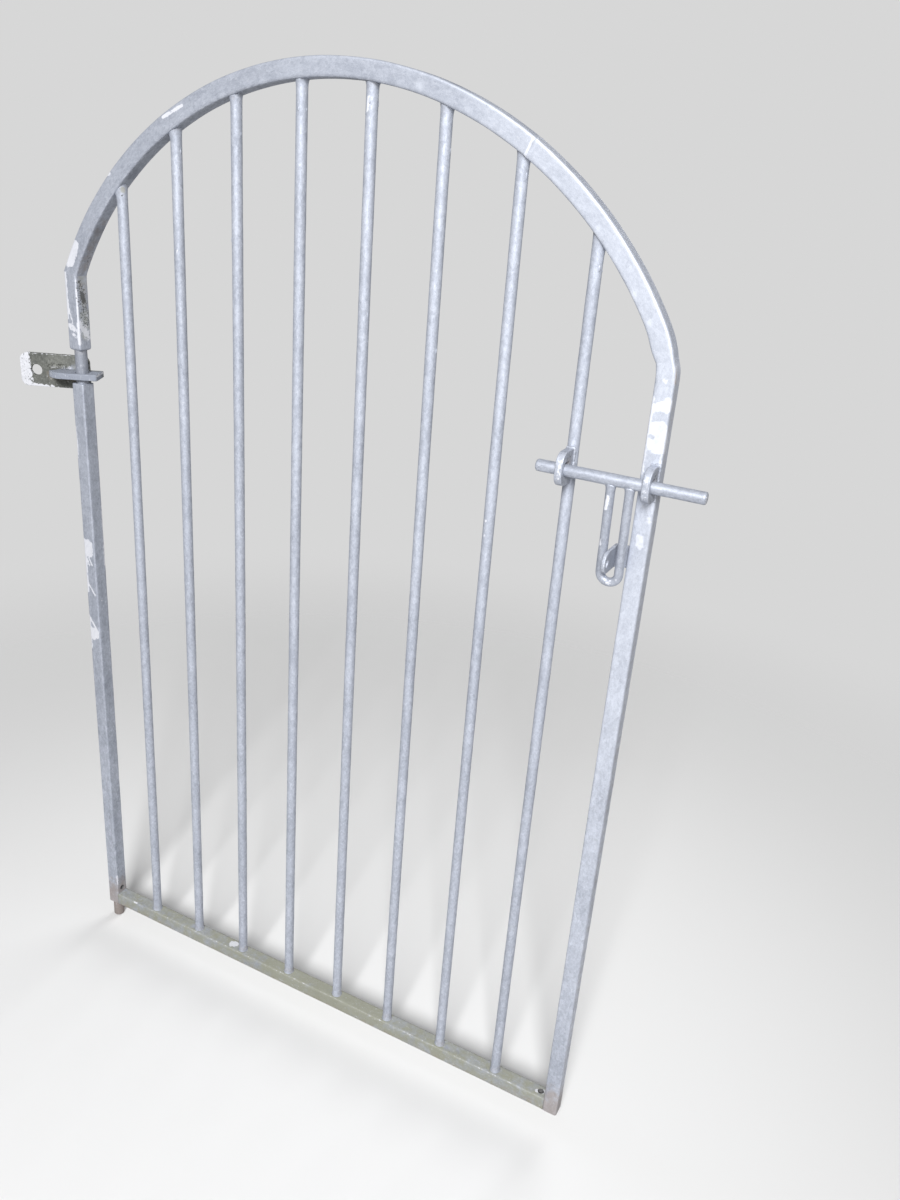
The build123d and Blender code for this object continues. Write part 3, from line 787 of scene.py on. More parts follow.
def finish(slot):
    """The material of a slot, made when it is first asked for."""
    name = f"{slot}_finish"
    if name in bpy.data.materials:
        return bpy.data.materials[name]
    facts, colours = FINISHES[slot], bpy.context.scene.gate_colours
    material = bpy.data.materials.new(name)
    tree = cleared(material)
    place = attribute(tree, "flow").outputs["Vector"]
    zinc = put(tree, "ShaderNodeGroup", node_tree=zinc_coat_group())
    tree.links.new(place, zinc.inputs["Vector"])
    zinc.inputs["Blotch Scale"].default_value = facts.blotch_scale
    painted = attribute(tree, "marks")
    parts = put(tree, "ShaderNodeSeparateColor", {"Color": painted.outputs["Color"]})
    corner = attribute(tree, "corner").outputs["Fac"]

    def mask(amount, scale, raggedness, softness):
        inputs = {"Vector": place, "Amount": amount, "Scale": scale, "Raggedness": raggedness,
                  "Softness": softness}
        return put(tree, "ShaderNodeGroup", inputs, node_tree=ragged_mask_group()).outputs["Mask"]

    # the zinc's own tone plus the painted light and shade of the tone marks, and where it has gone white
    shaded = attribute(tree, "tone").outputs["Fac"]
    middle = 0.42
    tone = times(tree, math_node(tree, "SUBTRACT", zinc.outputs["Tone"], middle), facts.spread)
    tone = plus(tree, tone, middle, shaded)
    deep, pale = (linear(Color(getattr(colours, tint)) * facts.shade) for tint in (facts.deep, facts.pale))
    shade = mix_colour(tree, tone, deep, pale)
    whitened = plus(tree, times(tree, zinc.outputs["Tone"], 0.30), 0.72)
    whitened = math_node(tree, "SUBTRACT", whitened, shaded)

    # what lies on the zinc, with painted sunlight, highlights and shade among it, from the lowest layer up
    # white zinc, and in places painted sunlight and highlights
    bleach_and_light = times(tree, mask(parts.outputs["Red"], 190.0, 1.5, 0.14), whitened)
    # paler corners: rubbed zinc and a painted highlight along each rounded corner
    rubbed_and_highlit = mask(times(tree, math_node(tree, "POWER", corner, 3.0), 0.44), 130.0, 1.2, 0.35)
    # earth, and in places painted shade
    stain_and_shade = mask(plus(tree, parts.outputs["Green"], facts.stain_and_shade), 90.0, 1.1, 0.60)
    film = mask(plus(tree, parts.outputs["Blue"], facts.film), 60.0, 1.3, 0.6)
    pit_and_shade = mask(painted.outputs["Alpha"], 330.0, 1.9, 0.10)
    for cover, share, covering in (
            (film, facts.film_share, getattr(colours, facts.film_colour)),
            (stain_and_shade, 0.58, colours.earth_and_shade),
            (zinc.outputs["Specks"], facts.specks, colours.pit_and_shade),
            (zinc.outputs["Flecks"], 0.45, colours.bleached_and_highlight),
            (rubbed_and_highlit, 0.28, colours.bleached_and_highlight),
            (bleach_and_light, 1.0, colours.bleached_and_highlight),
            (pit_and_shade, 0.80, colours.pit_and_shade)):
        shade = mix_colour(tree, times(tree, cover, share), shade, linear(covering))

    # marks are duller and rougher than the zinc, and pits go in
    dull = math_node(tree, "MAXIMUM", math_node(tree, "MAXIMUM", bleach_and_light, stain_and_shade),
                     math_node(tree, "MAXIMUM", film, pit_and_shade))
    metallic = math_node(tree, "SUBTRACT", facts.metallic, times(tree, dull, facts.metallic * 0.8))
    rough = plus(tree, between(tree, tone, 0.1, 0.9, facts.rough + 0.08, facts.rough - 0.08),
                 times(tree, dull, 0.2))
    height = plus(tree, times(tree, tone, 0.25), times(tree, zinc.outputs["Grain"], 0.5))
    height = plus(tree, height, times(tree, bleach_and_light, 0.5))
    height = math_node(tree, "SUBTRACT", height, times(tree, pit_and_shade, 1.6))
    bump = put(tree, "ShaderNodeBump", {"Height": height, "Strength": facts.bump, "Distance": 0.0008})
    shader = put(tree, "ShaderNodeBsdfPrincipled", {
        "Base Color": shade, "Metallic": metallic, "Roughness": rough, "Normal": bump.outputs["Normal"]})
    put(tree, "ShaderNodeOutputMaterial", {"Surface": shader.outputs["BSDF"]})
    return material


# the pieces

class GateOperator:
    """What the gate's operators share."""

    bl_options = {"REGISTER", "UNDO"}

    def execute(self, context):
        self.make(context.scene.gate_sizes)
        return {"FINISHED"}


def upright_at(x, z):
    """The place of a level ring on the leaf's middle plane."""
    return Matrix.Translation((x, LEAF.y, z))


def mitre_weld(place, side, sizes):
    """Height of the weld along the cut between a stile and the arch, lower at the latch side's bend."""
    origin, normal = LEAF.mitre(side)
    away = abs((place - origin).dot(normal))
    if side < 0:
        return ridge(away, sizes.mitre_ridge, MITRE_WELD)
    return ridge(away, sizes.mitre_ridge / 2, BEND_WELD)


def ease_bend(bm, sizes):
    """Eases the kink on the latch side into the short bend that it is, with a blunt outer corner."""
    inward, over_corner = 80 * MM, 11 * MM
    blunt, blunt_reach = 2.2 * MM, 7 * MM
    middle_z = LEAF.inner_corner_z + over_corner
    corner = Vector((LEAF.latch_x + LEAF.section / 2, LEAF.outer_corner_z))
    for vert in bm.verts:
        if vert.co.x > LEAF.inner_right - inward:
            vert.co.x -= (ridge(vert.co.z - middle_z, sizes.bend_shift, sizes.bend_reach)
                          + ridge((vert.co.xz - corner).length, blunt, blunt_reach))


class GATE_OT_stiles(GateOperator, bpy.types.Operator):
    """Draws the two pieces of the hinge stile and the latch stile"""

    bl_idname = "gate.stiles"
    bl_label = "Stiles"

    def make(self, sizes):
        self.lower(sizes)
        self.upper(sizes)
        self.latch(sizes)

    def tube(self, sizes, x, high, closed):
        """A straight tube from the leaf's foot up, with rounded ends. Its top can stay open."""
        bm = bmesh.new()
        rounded, half = sizes.end_round, LEAF.section / 2
        foot, shoulder = LEAF.foot + rounded, high - (rounded if closed else 0)
        ring = square_ring(bm, LEAF.section, sizes.tube_corner, upright_at(x, foot))
        close_end(bm, ring, Vector((x, LEAF.y, foot)), -UP, rounded, half)
        ring = run(bm, ring, UP, [(shoulder - foot, sizes.ring_spacing)])
        if closed:
            close_end(bm, ring, Vector((x, LEAF.y, shoulder)), UP, rounded, half)
        return bm

    def finish_stile(self, bm, node):
        """Makes a drawn stile a piece."""
        return finish_piece(bm, node + "_tube", "leaf", "galvanised_tube", [node], flats=(BACK,))

    def lower(self, sizes):
        """The long piece, with a vent over the rail."""
        bm = self.tube(sizes, LEAF.hinge_x, LEAF.break_low, True)
        coat(bm, sizes)
        piece = self.finish_stile(bm, "hinge_stile_lower")
        vent_z = LEAF.foot + LEAF.section + VENT_FROM_CORNER
        drill(piece, vent(Vector((LEAF.inner_left, LEAF.y, vent_z)), ACROSS))

    def upper(self, sizes):
        """The short piece over the break, with its rolled lower end and its pitted inner side."""
        bm = bmesh.new()
        foot = LEAF.break_high + sizes.stub_round
        ring = square_ring(bm, LEAF.section, sizes.tube_corner, upright_at(LEAF.hinge_x, foot))
        middle = Vector((LEAF.hinge_x, LEAF.y, foot))
        close_end(bm, ring, middle, -UP, sizes.stub_round, LEAF.section / 2, steps=6)
        run(bm, ring, UP, [(LEAF.outer_corner_z + LEAF.section - foot, 1.5 * sizes.fine_spacing)])
        cut_flat(bm, *LEAF.mitre(-1))
        coat(bm, sizes, lambda place: mitre_weld(place, -1, sizes))
        self.finish_stile(bm, "hinge_stile_upper")

    def latch(self, sizes):
        """The latch stile from its foot to the arch."""
        bm = self.tube(sizes, LEAF.latch_x, LEAF.outer_corner_z + LEAF.section, False)
        cut_flat(bm, *LEAF.mitre(1))
        coat(bm, sizes, lambda place: mitre_weld(place, 1, sizes))
        ease_bend(bm, sizes)
        self.finish_stile(bm, "latch_stile")


def vent(place, outward):
    """The shape that a vent hole takes out of a tube's face."""
    cutter = bmesh.new()
    turned = outward.to_track_quat("Z", "Y").to_matrix().to_4x4()
    middle = Matrix.Translation(place - outward * (VENT_DEPTH / 2 - MM))
    bmesh.ops.create_cone(cutter, cap_ends=True, segments=32, radius1=VENT_RADIUS, radius2=VENT_RADIUS,
                          depth=VENT_DEPTH, matrix=middle @ turned)
    return cutter


class GATE_OT_arch(GateOperator, bpy.types.Operator):
    """Draws the bent tube of the arch, with its splice weld"""

    bl_idname = "gate.arch"
    bl_label = "Arch"

    def make(self, sizes):
        bm = bmesh.new()
        start_turn, splice_turn = math.radians(72), math.radians(31.4)
        weld_reach, splice_width, splice_slant = 8 * MM, 1.7 * MM, 0.12
        radius = LEAF.middle_radius
        face_along = Matrix.Translation((0, 0, radius)) @ TURN_ALONG
        start = Matrix.Translation(LEAF.centre) @ Matrix.Rotation(-start_turn, 4, "Y") @ face_along
        ring = square_ring(bm, LEAF.section, sizes.tube_corner, start)
        to_weld = (start_turn + splice_turn) * radius - weld_reach
        past_weld = (start_turn - splice_turn) * radius - weld_reach
        stretches = [(to_weld, sizes.ring_spacing), (2 * weld_reach, sizes.fine_spacing),
                     (past_weld, sizes.ring_spacing)]
        run(bm, ring, BACK, stretches, pivot=LEAF.centre, turn=radius)
        for side in (-1, 1):
            place, normal = LEAF.mitre(side)
            cut_flat(bm, place, -normal)

        def welds(place):
            arm = place - LEAF.centre
            along = (math.atan2(arm.x, arm.z) - splice_turn) * radius + arm.y * splice_slant
            return (ridge(along, sizes.splice_ridge * lumpy(place, 0.5, 3 * MM), splice_width)
                    + mitre_weld(place, -1, sizes) + mitre_weld(place, 1, sizes))

        coat(bm, sizes, welds)
        ease_bend(bm, sizes)
        beside, step = 10 * MM, 12
        # painted shade along the arch's underside and along the outer face of its latch half
        marks = self.shaded(LEAF.inner_radius - beside, range(-66, 67, step))
        marks += self.shaded(LEAF.inner_radius + LEAF.section + beside, range(6, 67, step))
        finish_piece(bm, "arch_tube", "leaf", "galvanised_tube", ["arch_bar"], marks, arch_flow, (BACK,))

    def shaded(self, radius, turns):
        """Painted shade: deeper zinc along a bend beside the tube, from chord to chord."""
        arm = Vector((0, 0, radius))
        bend = [LEAF.centre + Matrix.Rotation(math.radians(turn), 3, "Y") @ arm for turn in turns]
        return [Mark(TONE_LIGHT_AND_SHADE, first, second, 16 * MM, -0.3) for first, second in zip(bend, bend[1:])]


class GATE_OT_rail(GateOperator, bpy.types.Operator):
    """Draws the bottom rail, with its vent"""

    bl_idname = "gate.rail"
    bl_label = "Bottom rail"

    def make(self, sizes):
        low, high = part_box("bottom_rail")
        weld_height, weld_width = 0.5 * MM, 2.5 * MM
        bm = bmesh.new()
        place = Matrix.Translation((low.x, LEAF.y, (low.z + high.z) / 2)) @ TURN_ALONG
        ring = square_ring(bm, LEAF.section, sizes.tube_corner, place)
        closed_run(bm, ring, ACROSS, [(high.x - low.x, sizes.ring_spacing)])

        def welds(place):
            away = min(place.x - low.x, high.x - place.x)
            return ridge(away, weld_height * lumpy(place, 0.6, 4 * MM), weld_width)

        coat(bm, sizes, welds)
        piece = finish_piece(bm, "bottom_rail_tube", "leaf", "galvanised_rail", ["bottom_rail"],
                             flow=level_flow, flats=(BACK,))
        drill(piece, vent(Vector((high.x - VENT_FROM_CORNER, LEAF.y, high.z)), UP))


class GATE_OT_bars(GateOperator, bpy.types.Operator):
    """Draws the round bars, with the welds at their ends"""

    bl_idname = "gate.bars"
    bl_label = "Bars"

    def make(self, sizes):
        for node in BARS:
            self.bar(sizes, node)

    def bar(self, sizes, node):
        """One bar from the rail to the arch's underside."""
        low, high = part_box(node)
        x, radius = (low.x + high.x) / 2, (high.x - low.x) / 2
        sink, weld_part = 0.5 * MM, 14 * MM
        bottom, top = low.z - sink, LEAF.underside(x) + sink
        bm = bmesh.new()
        closed_run(bm, round_ring(bm, radius, upright_at(x, bottom)), UP, [
            (weld_part, sizes.fine_spacing), (top - bottom - 2 * weld_part, 3 * sizes.ring_spacing),
            (weld_part, sizes.fine_spacing)])
        for vert in bm.verts:
            share = (vert.co.z - bottom) / (top - bottom)
            vert.co.z += share * (LEAF.underside(vert.co.x) + sink - top)
        lean = 1 if x > LEAF.middle_x else -1
        steep = abs(x - LEAF.middle_x) / LEAF.inner_radius

        def welds(place):
            over = max(0.0, LEAF.underside(place.x) - place.z)
            under = max(0.0, place.z - low.z)
            facing = lean * (place.x - x) / radius
            top_weld = (1 + 0.9 * steep * facing) * math.exp(-over / (sizes.bar_weld_fall * (1 + steep)))
            weld = sizes.bar_weld * (top_weld + 0.8 * math.exp(-under / sizes.bar_weld_fall))
            return weld * lumpy(place, 0.35, 5 * MM) + 0.05 * MM * swell(place, 12 * MM)

        coat(bm, sizes, welds)
        across = (x - LEAF.hinge_x) / MM
        top_mm = (high.z - LEAF.foot) / MM
        marks = marks_from(LEAF.point, (
            (STAIN_AND_SHADE, (across, 0, 20), (across, 0, 32), 13, 0.5),
            (STAIN_AND_SHADE, (across, 0, top_mm + 4), (across, 0, top_mm - 6), 13, 0.35)))
        finish_piece(bm, node + "_rod", "leaf", "galvanised_bar", [node], marks)


class GATE_OT_pins(GateOperator, bpy.types.Operator):
    """Draws the journal pin in the stile's break and the pin under the stile"""

    bl_idname = "gate.pins"
    bl_label = "Pins"

    def make(self, sizes):
        let_in, tip_round, segments = 3 * MM, 2.5 * MM, 32
        low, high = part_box("hinge_journal_pin")
        radius = (high.x - low.x) / 2
        bm = bmesh.new()
        ring = round_ring(bm, radius, upright_at(LEAF.hinge_x, LEAF.break_low - let_in), segments)
        reach = LEAF.break_high - LEAF.break_low + 2 * let_in
        closed_run(bm, ring, UP, [(reach, sizes.fine_spacing)])
        coat(bm, sizes)
        finish_piece(bm, "journal_pin", "leaf", "galvanised_pin", ["hinge_journal_pin"])

        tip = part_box("bottom_pivot_pin")[0].z + tip_round
        bm = bmesh.new()
        ring = round_ring(bm, radius, upright_at(LEAF.hinge_x, tip), segments)
        close_end(bm, ring, Vector((LEAF.hinge_x, LEAF.y, tip)), -UP, tip_round, radius)
        last = run(bm, ring, UP, [(LEAF.foot + let_in - tip, sizes.fine_spacing)])
        bmesh.ops.edgeloop_fill(bm, edges=last)
        coat(bm, sizes)
        finish_piece(bm, "pivot_pin", "leaf", "stained_pin", ["bottom_pivot_pin"])


def outline_ring(bm, width, height, rounded):
    """A level rectangle, with corners rounded where rounded gives (side, end, radius)."""
    verts = bmesh.ops.create_circle(bm, cap_ends=True, radius=math.sqrt(0.5), segments=4,
                                    matrix=TURN_CORNER)["verts"]
    bmesh.ops.scale(bm, vec=(width, height, 1), verts=verts)
    for side, end, radius in rounded:
        place = Vector((side * width, end * height)) / 2
        corner = min(bm.verts, key=lambda vert: (vert.co.xy - place).length)
        bmesh.ops.bevel(bm, geom=[corner], offset=radius, affect="VERTICES", segments=12, profile=0.5,
                        material=-1)
    bmesh.ops.delete(bm, geom=bm.faces[:], context="FACES_ONLY")
    return bm.edges[:]


def holed_plate(width, height, rounded, hole_at, hole_radius, thickness, place):
    """A flat plate with rounded corners and one hole, as a closed shape.

    The plate is drawn flat about its middle, with the hole at a point on it, then placed.
    """
    bm = bmesh.new()
    border = outline_ring(bm, width, height, rounded)
    hole = round_ring(bm, hole_radius, Matrix.Translation((*hole_at, 0)), 48)
    bmesh.ops.bridge_loops(bm, edges=border + hole)
    bmesh.ops.recalc_face_normals(bm, faces=bm.faces)
    made = bmesh.ops.extrude_face_region(bm, geom=bm.faces[:], use_keep_orig=True)
    moved = [part for part in made["geom"] if isinstance(part, bmesh.types.BMVert)]
    bmesh.ops.translate(bm, verts=moved, vec=(0, 0, thickness))
    bmesh.ops.translate(bm, verts=bm.verts, vec=(0, 0, -thickness / 2))
    bmesh.ops.transform(bm, matrix=place, verts=bm.verts)
    return bm


def add_shape(bm, other):
    """Adds another shape to a shape."""
    mesh = bpy.data.meshes.new("part")
    other.to_mesh(mesh)
    other.free()
    bm.from_mesh(mesh)
    bpy.data.meshes.remove(mesh)


def weld_bead(bm, start, end, radius, rng):
    """A run of weld: overlapping drops along a line."""
    spacing, wander, spread = 2.2 * MM, 0.4, 0.18
    count = max(2, round((end - start).length / spacing))
    for number in range(count + 1):
        place = start.lerp(end, number / count)
        wobble = Vector([rng.uniform(-wander, wander) * MM for _ in range(3)])
        size = radius * rng.uniform(1 - spread, 1 + spread)
        bmesh.ops.create_icosphere(bm, subdivisions=2, radius=size, matrix=Matrix.Translation(place + wobble))


class GATE_OT_bracket(GateOperator, bpy.types.Operator):
    """Draws the hinge bracket: its plate, its tab with the eye, and their weld"""

    bl_idname = "gate.bracket"
    bl_label = "Hinge bracket"

    def make(self, sizes):
        rng = random.Random(sizes.seed)
        turn = math.radians(30)
        left, right, height, thick, face = 108 * MM, 5 * MM, 55 * MM, 8 * MM, 23 * MM
        corner, hole, hole_from_end = 12 * MM, 9 * MM, 26 * MM
        tab_left, tab_right, tab_front, eye = 56 * MM, 28 * MM, 18 * MM, 11 * MM
        tab_round, tab_corner, bite = 28 * MM, 3.5 * MM, 1 * MM
        low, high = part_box("hinge_tab")
        tab_z, tab_thick = (low.z + high.z) / 2, high.z - low.z
        standing = Matrix.Translation(((right - left) / 2, face + thick / 2, 0)) @ TURN_UPRIGHT
        corners = [(side, end, corner) for side in (-1, 1) for end in (-1, 1)]
        bm = holed_plate(left + right, height, corners, (hole_from_end - (left + right) / 2, 0), hole, thick,
                         standing)
        depth = face + tab_front
        middle = Vector(((tab_right - tab_left) / 2, (face - tab_front) / 2))
        rounded = [(-1, -1, tab_round), (1, -1, tab_corner)]
        add_shape(bm, holed_plate(tab_left + tab_right, depth + bite, rounded,
                                  (-middle.x, -middle.y - bite / 2), eye, tab_thick,
                                  Matrix.Translation((middle.x, middle.y + bite / 2, 0))))
        below, over = (Vector((-tab_left, face, end * tab_thick / 2)) for end in (-1, 1))
        for start in (below, over):
            weld_bead(bm, start, Vector((right - 4 * MM, face, start.z)), 3.0 * MM, rng)
        weld_bead(bm, below, over, 3.2 * MM, rng)
        bm = melt(bm, sizes.fitting_voxel)
        turned = upright_at(LEAF.hinge_x, tab_z) @ Matrix.Rotation(turn, 4, "Z")
        bmesh.ops.transform(bm, matrix=turned, verts=bm.verts)
        axis_place = Vector((LEAF.hinge_x, LEAF.y, tab_z))

        def eaten(place):
            clear = (place - axis_place).xy.length > eye + 4 * MM
            return 0.25 * MM * swell(place, 5 * MM) if clear else 0.0

        def at(along, depth, height):
            return axis_place + Matrix.Rotation(turn, 3, "Z") @ Vector((along, depth, height)) * MM

        coat(bm, sizes, eaten)
        outward = Matrix.Rotation(turn, 3, "Z") @ BACK
        finish_piece(bm, "hinge_bracket", "bracket", "weathered_bracket", ["hinge_plate", "hinge_tab"],
                     marks_from(at, BRACKET_MARKS), flats=(outward, UP))


class GATE_OT_bolt(GateOperator, bpy.types.Operator):
    """Draws the round rod of the slide bolt"""

    bl_idname = "gate.bolt"
    bl_label = "Bolt rod"

    def make(self, sizes):
        low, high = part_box("bolt_rod")
        radius, end_round = (high.z - low.z) / 2, 2.5 * MM
        start = Vector((low.x + end_round, (low.y + high.y) / 2, (low.z + high.z) / 2))
        reach = high.x - low.x - 2 * end_round
        bm = bmesh.new()
        ring = round_ring(bm, radius, Matrix.Translation(start) @ TURN_ALONG, 32)
        close_end(bm, ring, start, -ACROSS, end_round, radius)
        last = run(bm, ring, ACROSS, [(reach, 1.5 * MM)])
        close_end(bm, last, start + ACROSS * reach, ACROSS, end_round, radius)
        coat(bm, sizes)

        def whitened(tip, inward, reach, amount):
            first, last = (Vector((x, start.y, start.z)) for x in (tip, tip + inward))
            return Mark(BLEACH_AND_LIGHT, first, last, reach, amount)

        marks = [whitened(high.x, -6 * MM, 9 * MM, 0.7), whitened(low.x, 8 * MM, 10 * MM, 0.6)]
        finish_piece(bm, "bolt_rod_bar", "bolt", "galvanised_bolt", ["bolt_rod"], marks, level_flow)


class GATE_OT_handle(GateOperator, bpy.types.Operator):
    """Draws the loop handle that hangs under the bolt"""

    bl_idname = "gate.handle"
    bl_label = "Loop handle"

    def make(self, sizes):
        low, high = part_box("bolt_handle_loop")
        rod_low, rod_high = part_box("bolt_rod")
        rod_radius, rod_z = (rod_high.z - rod_low.z) / 2, (rod_high.z + rod_low.z) / 2
        radius, reach, lean = 6 * MM, 143 * MM, math.radians(3)
        seat_gap, weld_part, weld_height, weld_fall = 0.12 * MM, 8 * MM, 1.5 * MM, 2.2 * MM
        bend = (high.x - low.x) / 2 - radius
        rod_middle = Vector(((low.x + high.x) / 2, (rod_low.y + rod_high.y) / 2, rod_z))
        middle = rod_middle - UP * (reach - radius - bend)
        leg = rod_z - rod_radius - middle.z
        seat = rod_radius + seat_gap
        legs = [(weld_part, sizes.fine_spacing), (leg - weld_part, 2 * MM)]
        bm = bmesh.new()
        ring = round_ring(bm, radius, Matrix.Translation(middle + Vector((-bend, 0, leg))))
        bmesh.ops.edgeloop_fill(bm, edges=ring)
        ring = run(bm, ring, -UP, legs)
        ring = run(bm, ring, -BACK, [(math.pi * bend, 1.5 * MM)], pivot=middle, turn=bend)
        ring = run(bm, ring, UP, legs[::-1])
        bmesh.ops.edgeloop_fill(bm, edges=ring)

        def drop_of(place):
            """How far the rod's underside lies under its axis at a place."""
            side = min(abs(place.y - middle.y), seat * 0.95)
            return math.sqrt(seat ** 2 - side ** 2)

        for vert in bm.verts:
            share = max(0.0, (vert.co.z - middle.z) / leg)
            vert.co.z += share * (rod_radius - drop_of(vert.co))

        def welds(place):
            over = max(0.0, rod_z - drop_of(place) - place.z)
            across = abs(abs(place.x - middle.x) - bend) / radius
            return weld_height * min(1.0, across) * math.exp(-over / weld_fall) * lumpy(place, 0.4, 4 * MM)

        coat(bm, sizes, welds)
        turn = (Matrix.Translation(rod_middle) @ Matrix.Rotation(lean, 4, "X")
                @ Matrix.Translation(-rod_middle))
        bmesh.ops.transform(bm, matrix=turn, verts=bm.verts)

        def at(across, height):
            return turn @ (middle + Vector((across, -radius, height)))

        marks = [
            Mark(BLEACH_AND_LIGHT, at(-bend, 103 * MM), at(-bend - 2 * MM, 88 * MM), 3.8 * MM, 0.8),
            Mark(BLEACH_AND_LIGHT, at(-bend - 4 * MM, 44 * MM), at(-bend - 4 * MM, 38 * MM), 3.5 * MM, 0.9),
            Mark(BLEACH_AND_LIGHT, at(bend, -4 * MM), at(0, -bend), 6 * MM, 0.4),
        ]
        finish_piece(bm, "handle_loop", "handle", "galvanised_bolt", ["bolt_handle_loop"], marks)


class GATE_OT_guides(GateOperator, bpy.types.Operator):
    """Draws the two guides of the bolt, with their welds"""

    bl_idname = "gate.guides"
    bl_label = "Bolt guides"

    def make(self, sizes):
        rng = random.Random(sizes.seed + 1)
        bar_low, bar_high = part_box(BARS[-1])
        bar_radius = (bar_high.x - bar_low.x) / 2
        front = LEAF.y - LEAF.section / 2
        self.guide(sizes, "bolt_guide_left", LEAF.y, LEAF.y - bar_radius, rng)
        self.guide(sizes, "bolt_guide_right", front + MM, front, rng)

    def guide(self, sizes, node, back, weld_y, rng):
        """One guide: a thick plate across the rod with a round nose and a hole."""
        low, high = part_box(node)
        _, rod_y, rod_z = middle_of("bolt_rod")
        hole, corner, inset = 9.5 * MM, 17 * MM, 1.5 * MM
        depth, height, thick = back - low.y, high.z - low.z, high.x - low.x
        x, y, z = (low.x + high.x) / 2, (low.y + back) / 2, (low.z + high.z) / 2
        bm = holed_plate(depth, height, [(-1, -1, corner), (-1, 1, corner)], (rod_y - y, 0), hole, thick,
                         Matrix.Translation((x, y, z)) @ TURN_ACROSS)

        def weld(first_x, first_z, last_x, last_z, radius):
            weld_bead(bm, Vector((first_x, weld_y, first_z)), Vector((last_x, weld_y, last_z)), radius, rng)

        for end in (-1, 1):
            edge_x, edge_z = x + end * thick / 2, z + end * height / 2
            weld(edge_x, z - height / 2 + inset, edge_x, z + height / 2 - inset, 2.6 * MM)
            weld(x - thick / 2, edge_z, x + thick / 2, edge_z, 2.4 * MM)
        bm = melt(bm, sizes.fitting_voxel)

        def worn(place):
            clear = (place.yz - Vector((rod_y, rod_z))).length > hole + MM
            return 0.2 * MM * swell(place, 6 * MM) if clear else 0.0

        coat(bm, sizes, worn)
        nose = Vector((x, low.y, z))
        side = Vector((x + thick / 2, rod_y, z))
        marks = [
            # the pale nose: white zinc and painted sunlight
            Mark(BLEACH_AND_LIGHT, nose + UP * 16 * MM, nose - UP * 16 * MM, 6 * MM, 0.40),
            # pits and earth on the side toward the latch, partly painted shade
            Mark(PIT_AND_SHADE, side + Vector((0, 4, 14)) * MM, side - UP * 14 * MM, 12 * MM, 0.30),
            Mark(STAIN_AND_SHADE, side + Vector((0, 8, 8)) * MM, side + Vector((0, 8, 8)) * MM, 14 * MM, 0.40),
        ]
        finish_piece(bm, node + "_plate", "leaf", "galvanised_fitting", [node], marks, flats=(ACROSS,))


class GATE_OT_staple(GateOperator, bpy.types.Operator):
    """Draws the bent staple for a padlock, with its weld on the stile"""

    bl_idname = "gate.staple"
    bl_label = "Padlock staple"

    def make(self, sizes):
        rng = random.Random(sizes.seed + 2)
        low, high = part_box("padlock_staple")
        thick, bend, let_in, hole, hole_from_nose = 5 * MM, 4 * MM, MM, 5 * MM, 9 * MM
        height, depth = high.z - low.z, high.y - low.y
        y, z = (low.y + high.y) / 2, (low.z + high.z) / 2
        nose = height / 2 * 0.98
        bm = holed_plate(depth - bend, height, [(-1, -1, nose), (-1, 1, nose)],
                         (hole_from_nose - (depth - bend) / 2, 0), hole, thick,
                         Matrix.Translation((low.x + thick / 2, y - bend / 2, z)) @ TURN_ACROSS)
        foot = bmesh.new()
        width = high.x - low.x + let_in - bend
        place = Matrix.Translation((high.x + let_in - width / 2, high.y - thick / 2, z))
        bmesh.ops.create_cube(foot, size=1.0, matrix=place @ Matrix.Diagonal((width, thick, height, 1)))
        add_shape(bm, foot)
        corner = bmesh.new()
        bmesh.ops.create_cone(corner, cap_ends=True, segments=24, radius1=thick, radius2=thick, depth=height,
                              matrix=Matrix.Translation((low.x + thick, high.y - thick, z)))
        add_shape(bm, corner)
        for end in (-1, 1):
            start = Vector((high.x, high.y - thick / 2 + end * thick / 2, low.z + 2 * MM))
            weld_bead(bm, start, Vector((start.x, start.y, high.z - 2 * MM)), 2.2 * MM, rng)
        bm = melt(bm, sizes.fitting_voxel)
        coat(bm, sizes)
        tip = Vector((low.x + thick / 2, low.y, z))
        # the pale nose: white zinc and painted sunlight
        marks = [Mark(BLEACH_AND_LIGHT, tip + UP * 9 * MM, tip - UP * 9 * MM, 5 * MM, 0.42)]
        finish_piece(bm, "padlock_staple_flat", "leaf", "galvanised_fitting", ["padlock_staple"], marks,
                     flats=(ACROSS, BACK))


class GATE_OT_drips(GateOperator, bpy.types.Operator):
    """Draws the drops of zinc that ran and set on the bars"""

    bl_idname = "gate.drips"
    bl_label = "Zinc drips"

    def make(self, sizes):
        rng = random.Random(sizes.seed + 3)
        bm = bmesh.new()
        bars = [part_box(node) for node in BARS]
        for _ in range(sizes.drip_count):
            low, high = rng.choice(bars)
            radius = (high.x - low.x) / 2
            turn = rng.uniform(0, 2 * math.pi)
            outward = Vector((math.cos(turn), math.sin(turn), 0))
            near_top = rng.random() < 0.45
            z = high.z - rng.uniform(12, 60) * MM if near_top else rng.uniform(low.z + 0.03, high.z - 0.05)
            place = Vector(((low.x + high.x) / 2, LEAF.y, z)) + outward * (radius - 0.2 * MM)
            self.drop(bm, place, outward, rng.uniform(0.9, 1.9) * MM, rng.uniform(1.4, 3.2))
        finish_piece(bm, "zinc_drips", "leaf", "galvanised_bar")

    def drop(self, bm, place, outward, size, stretch):
        """A flattened drop, longer down the bar than it is wide."""
        turned = outward.to_track_quat("X", "Z").to_matrix().to_4x4()
        shape = Matrix.Diagonal((0.55 * size, size, size * stretch, 1))
        bmesh.ops.create_icosphere(bm, subdivisions=2, radius=1.0,
                                   matrix=Matrix.Translation(place) @ turned @ shape)


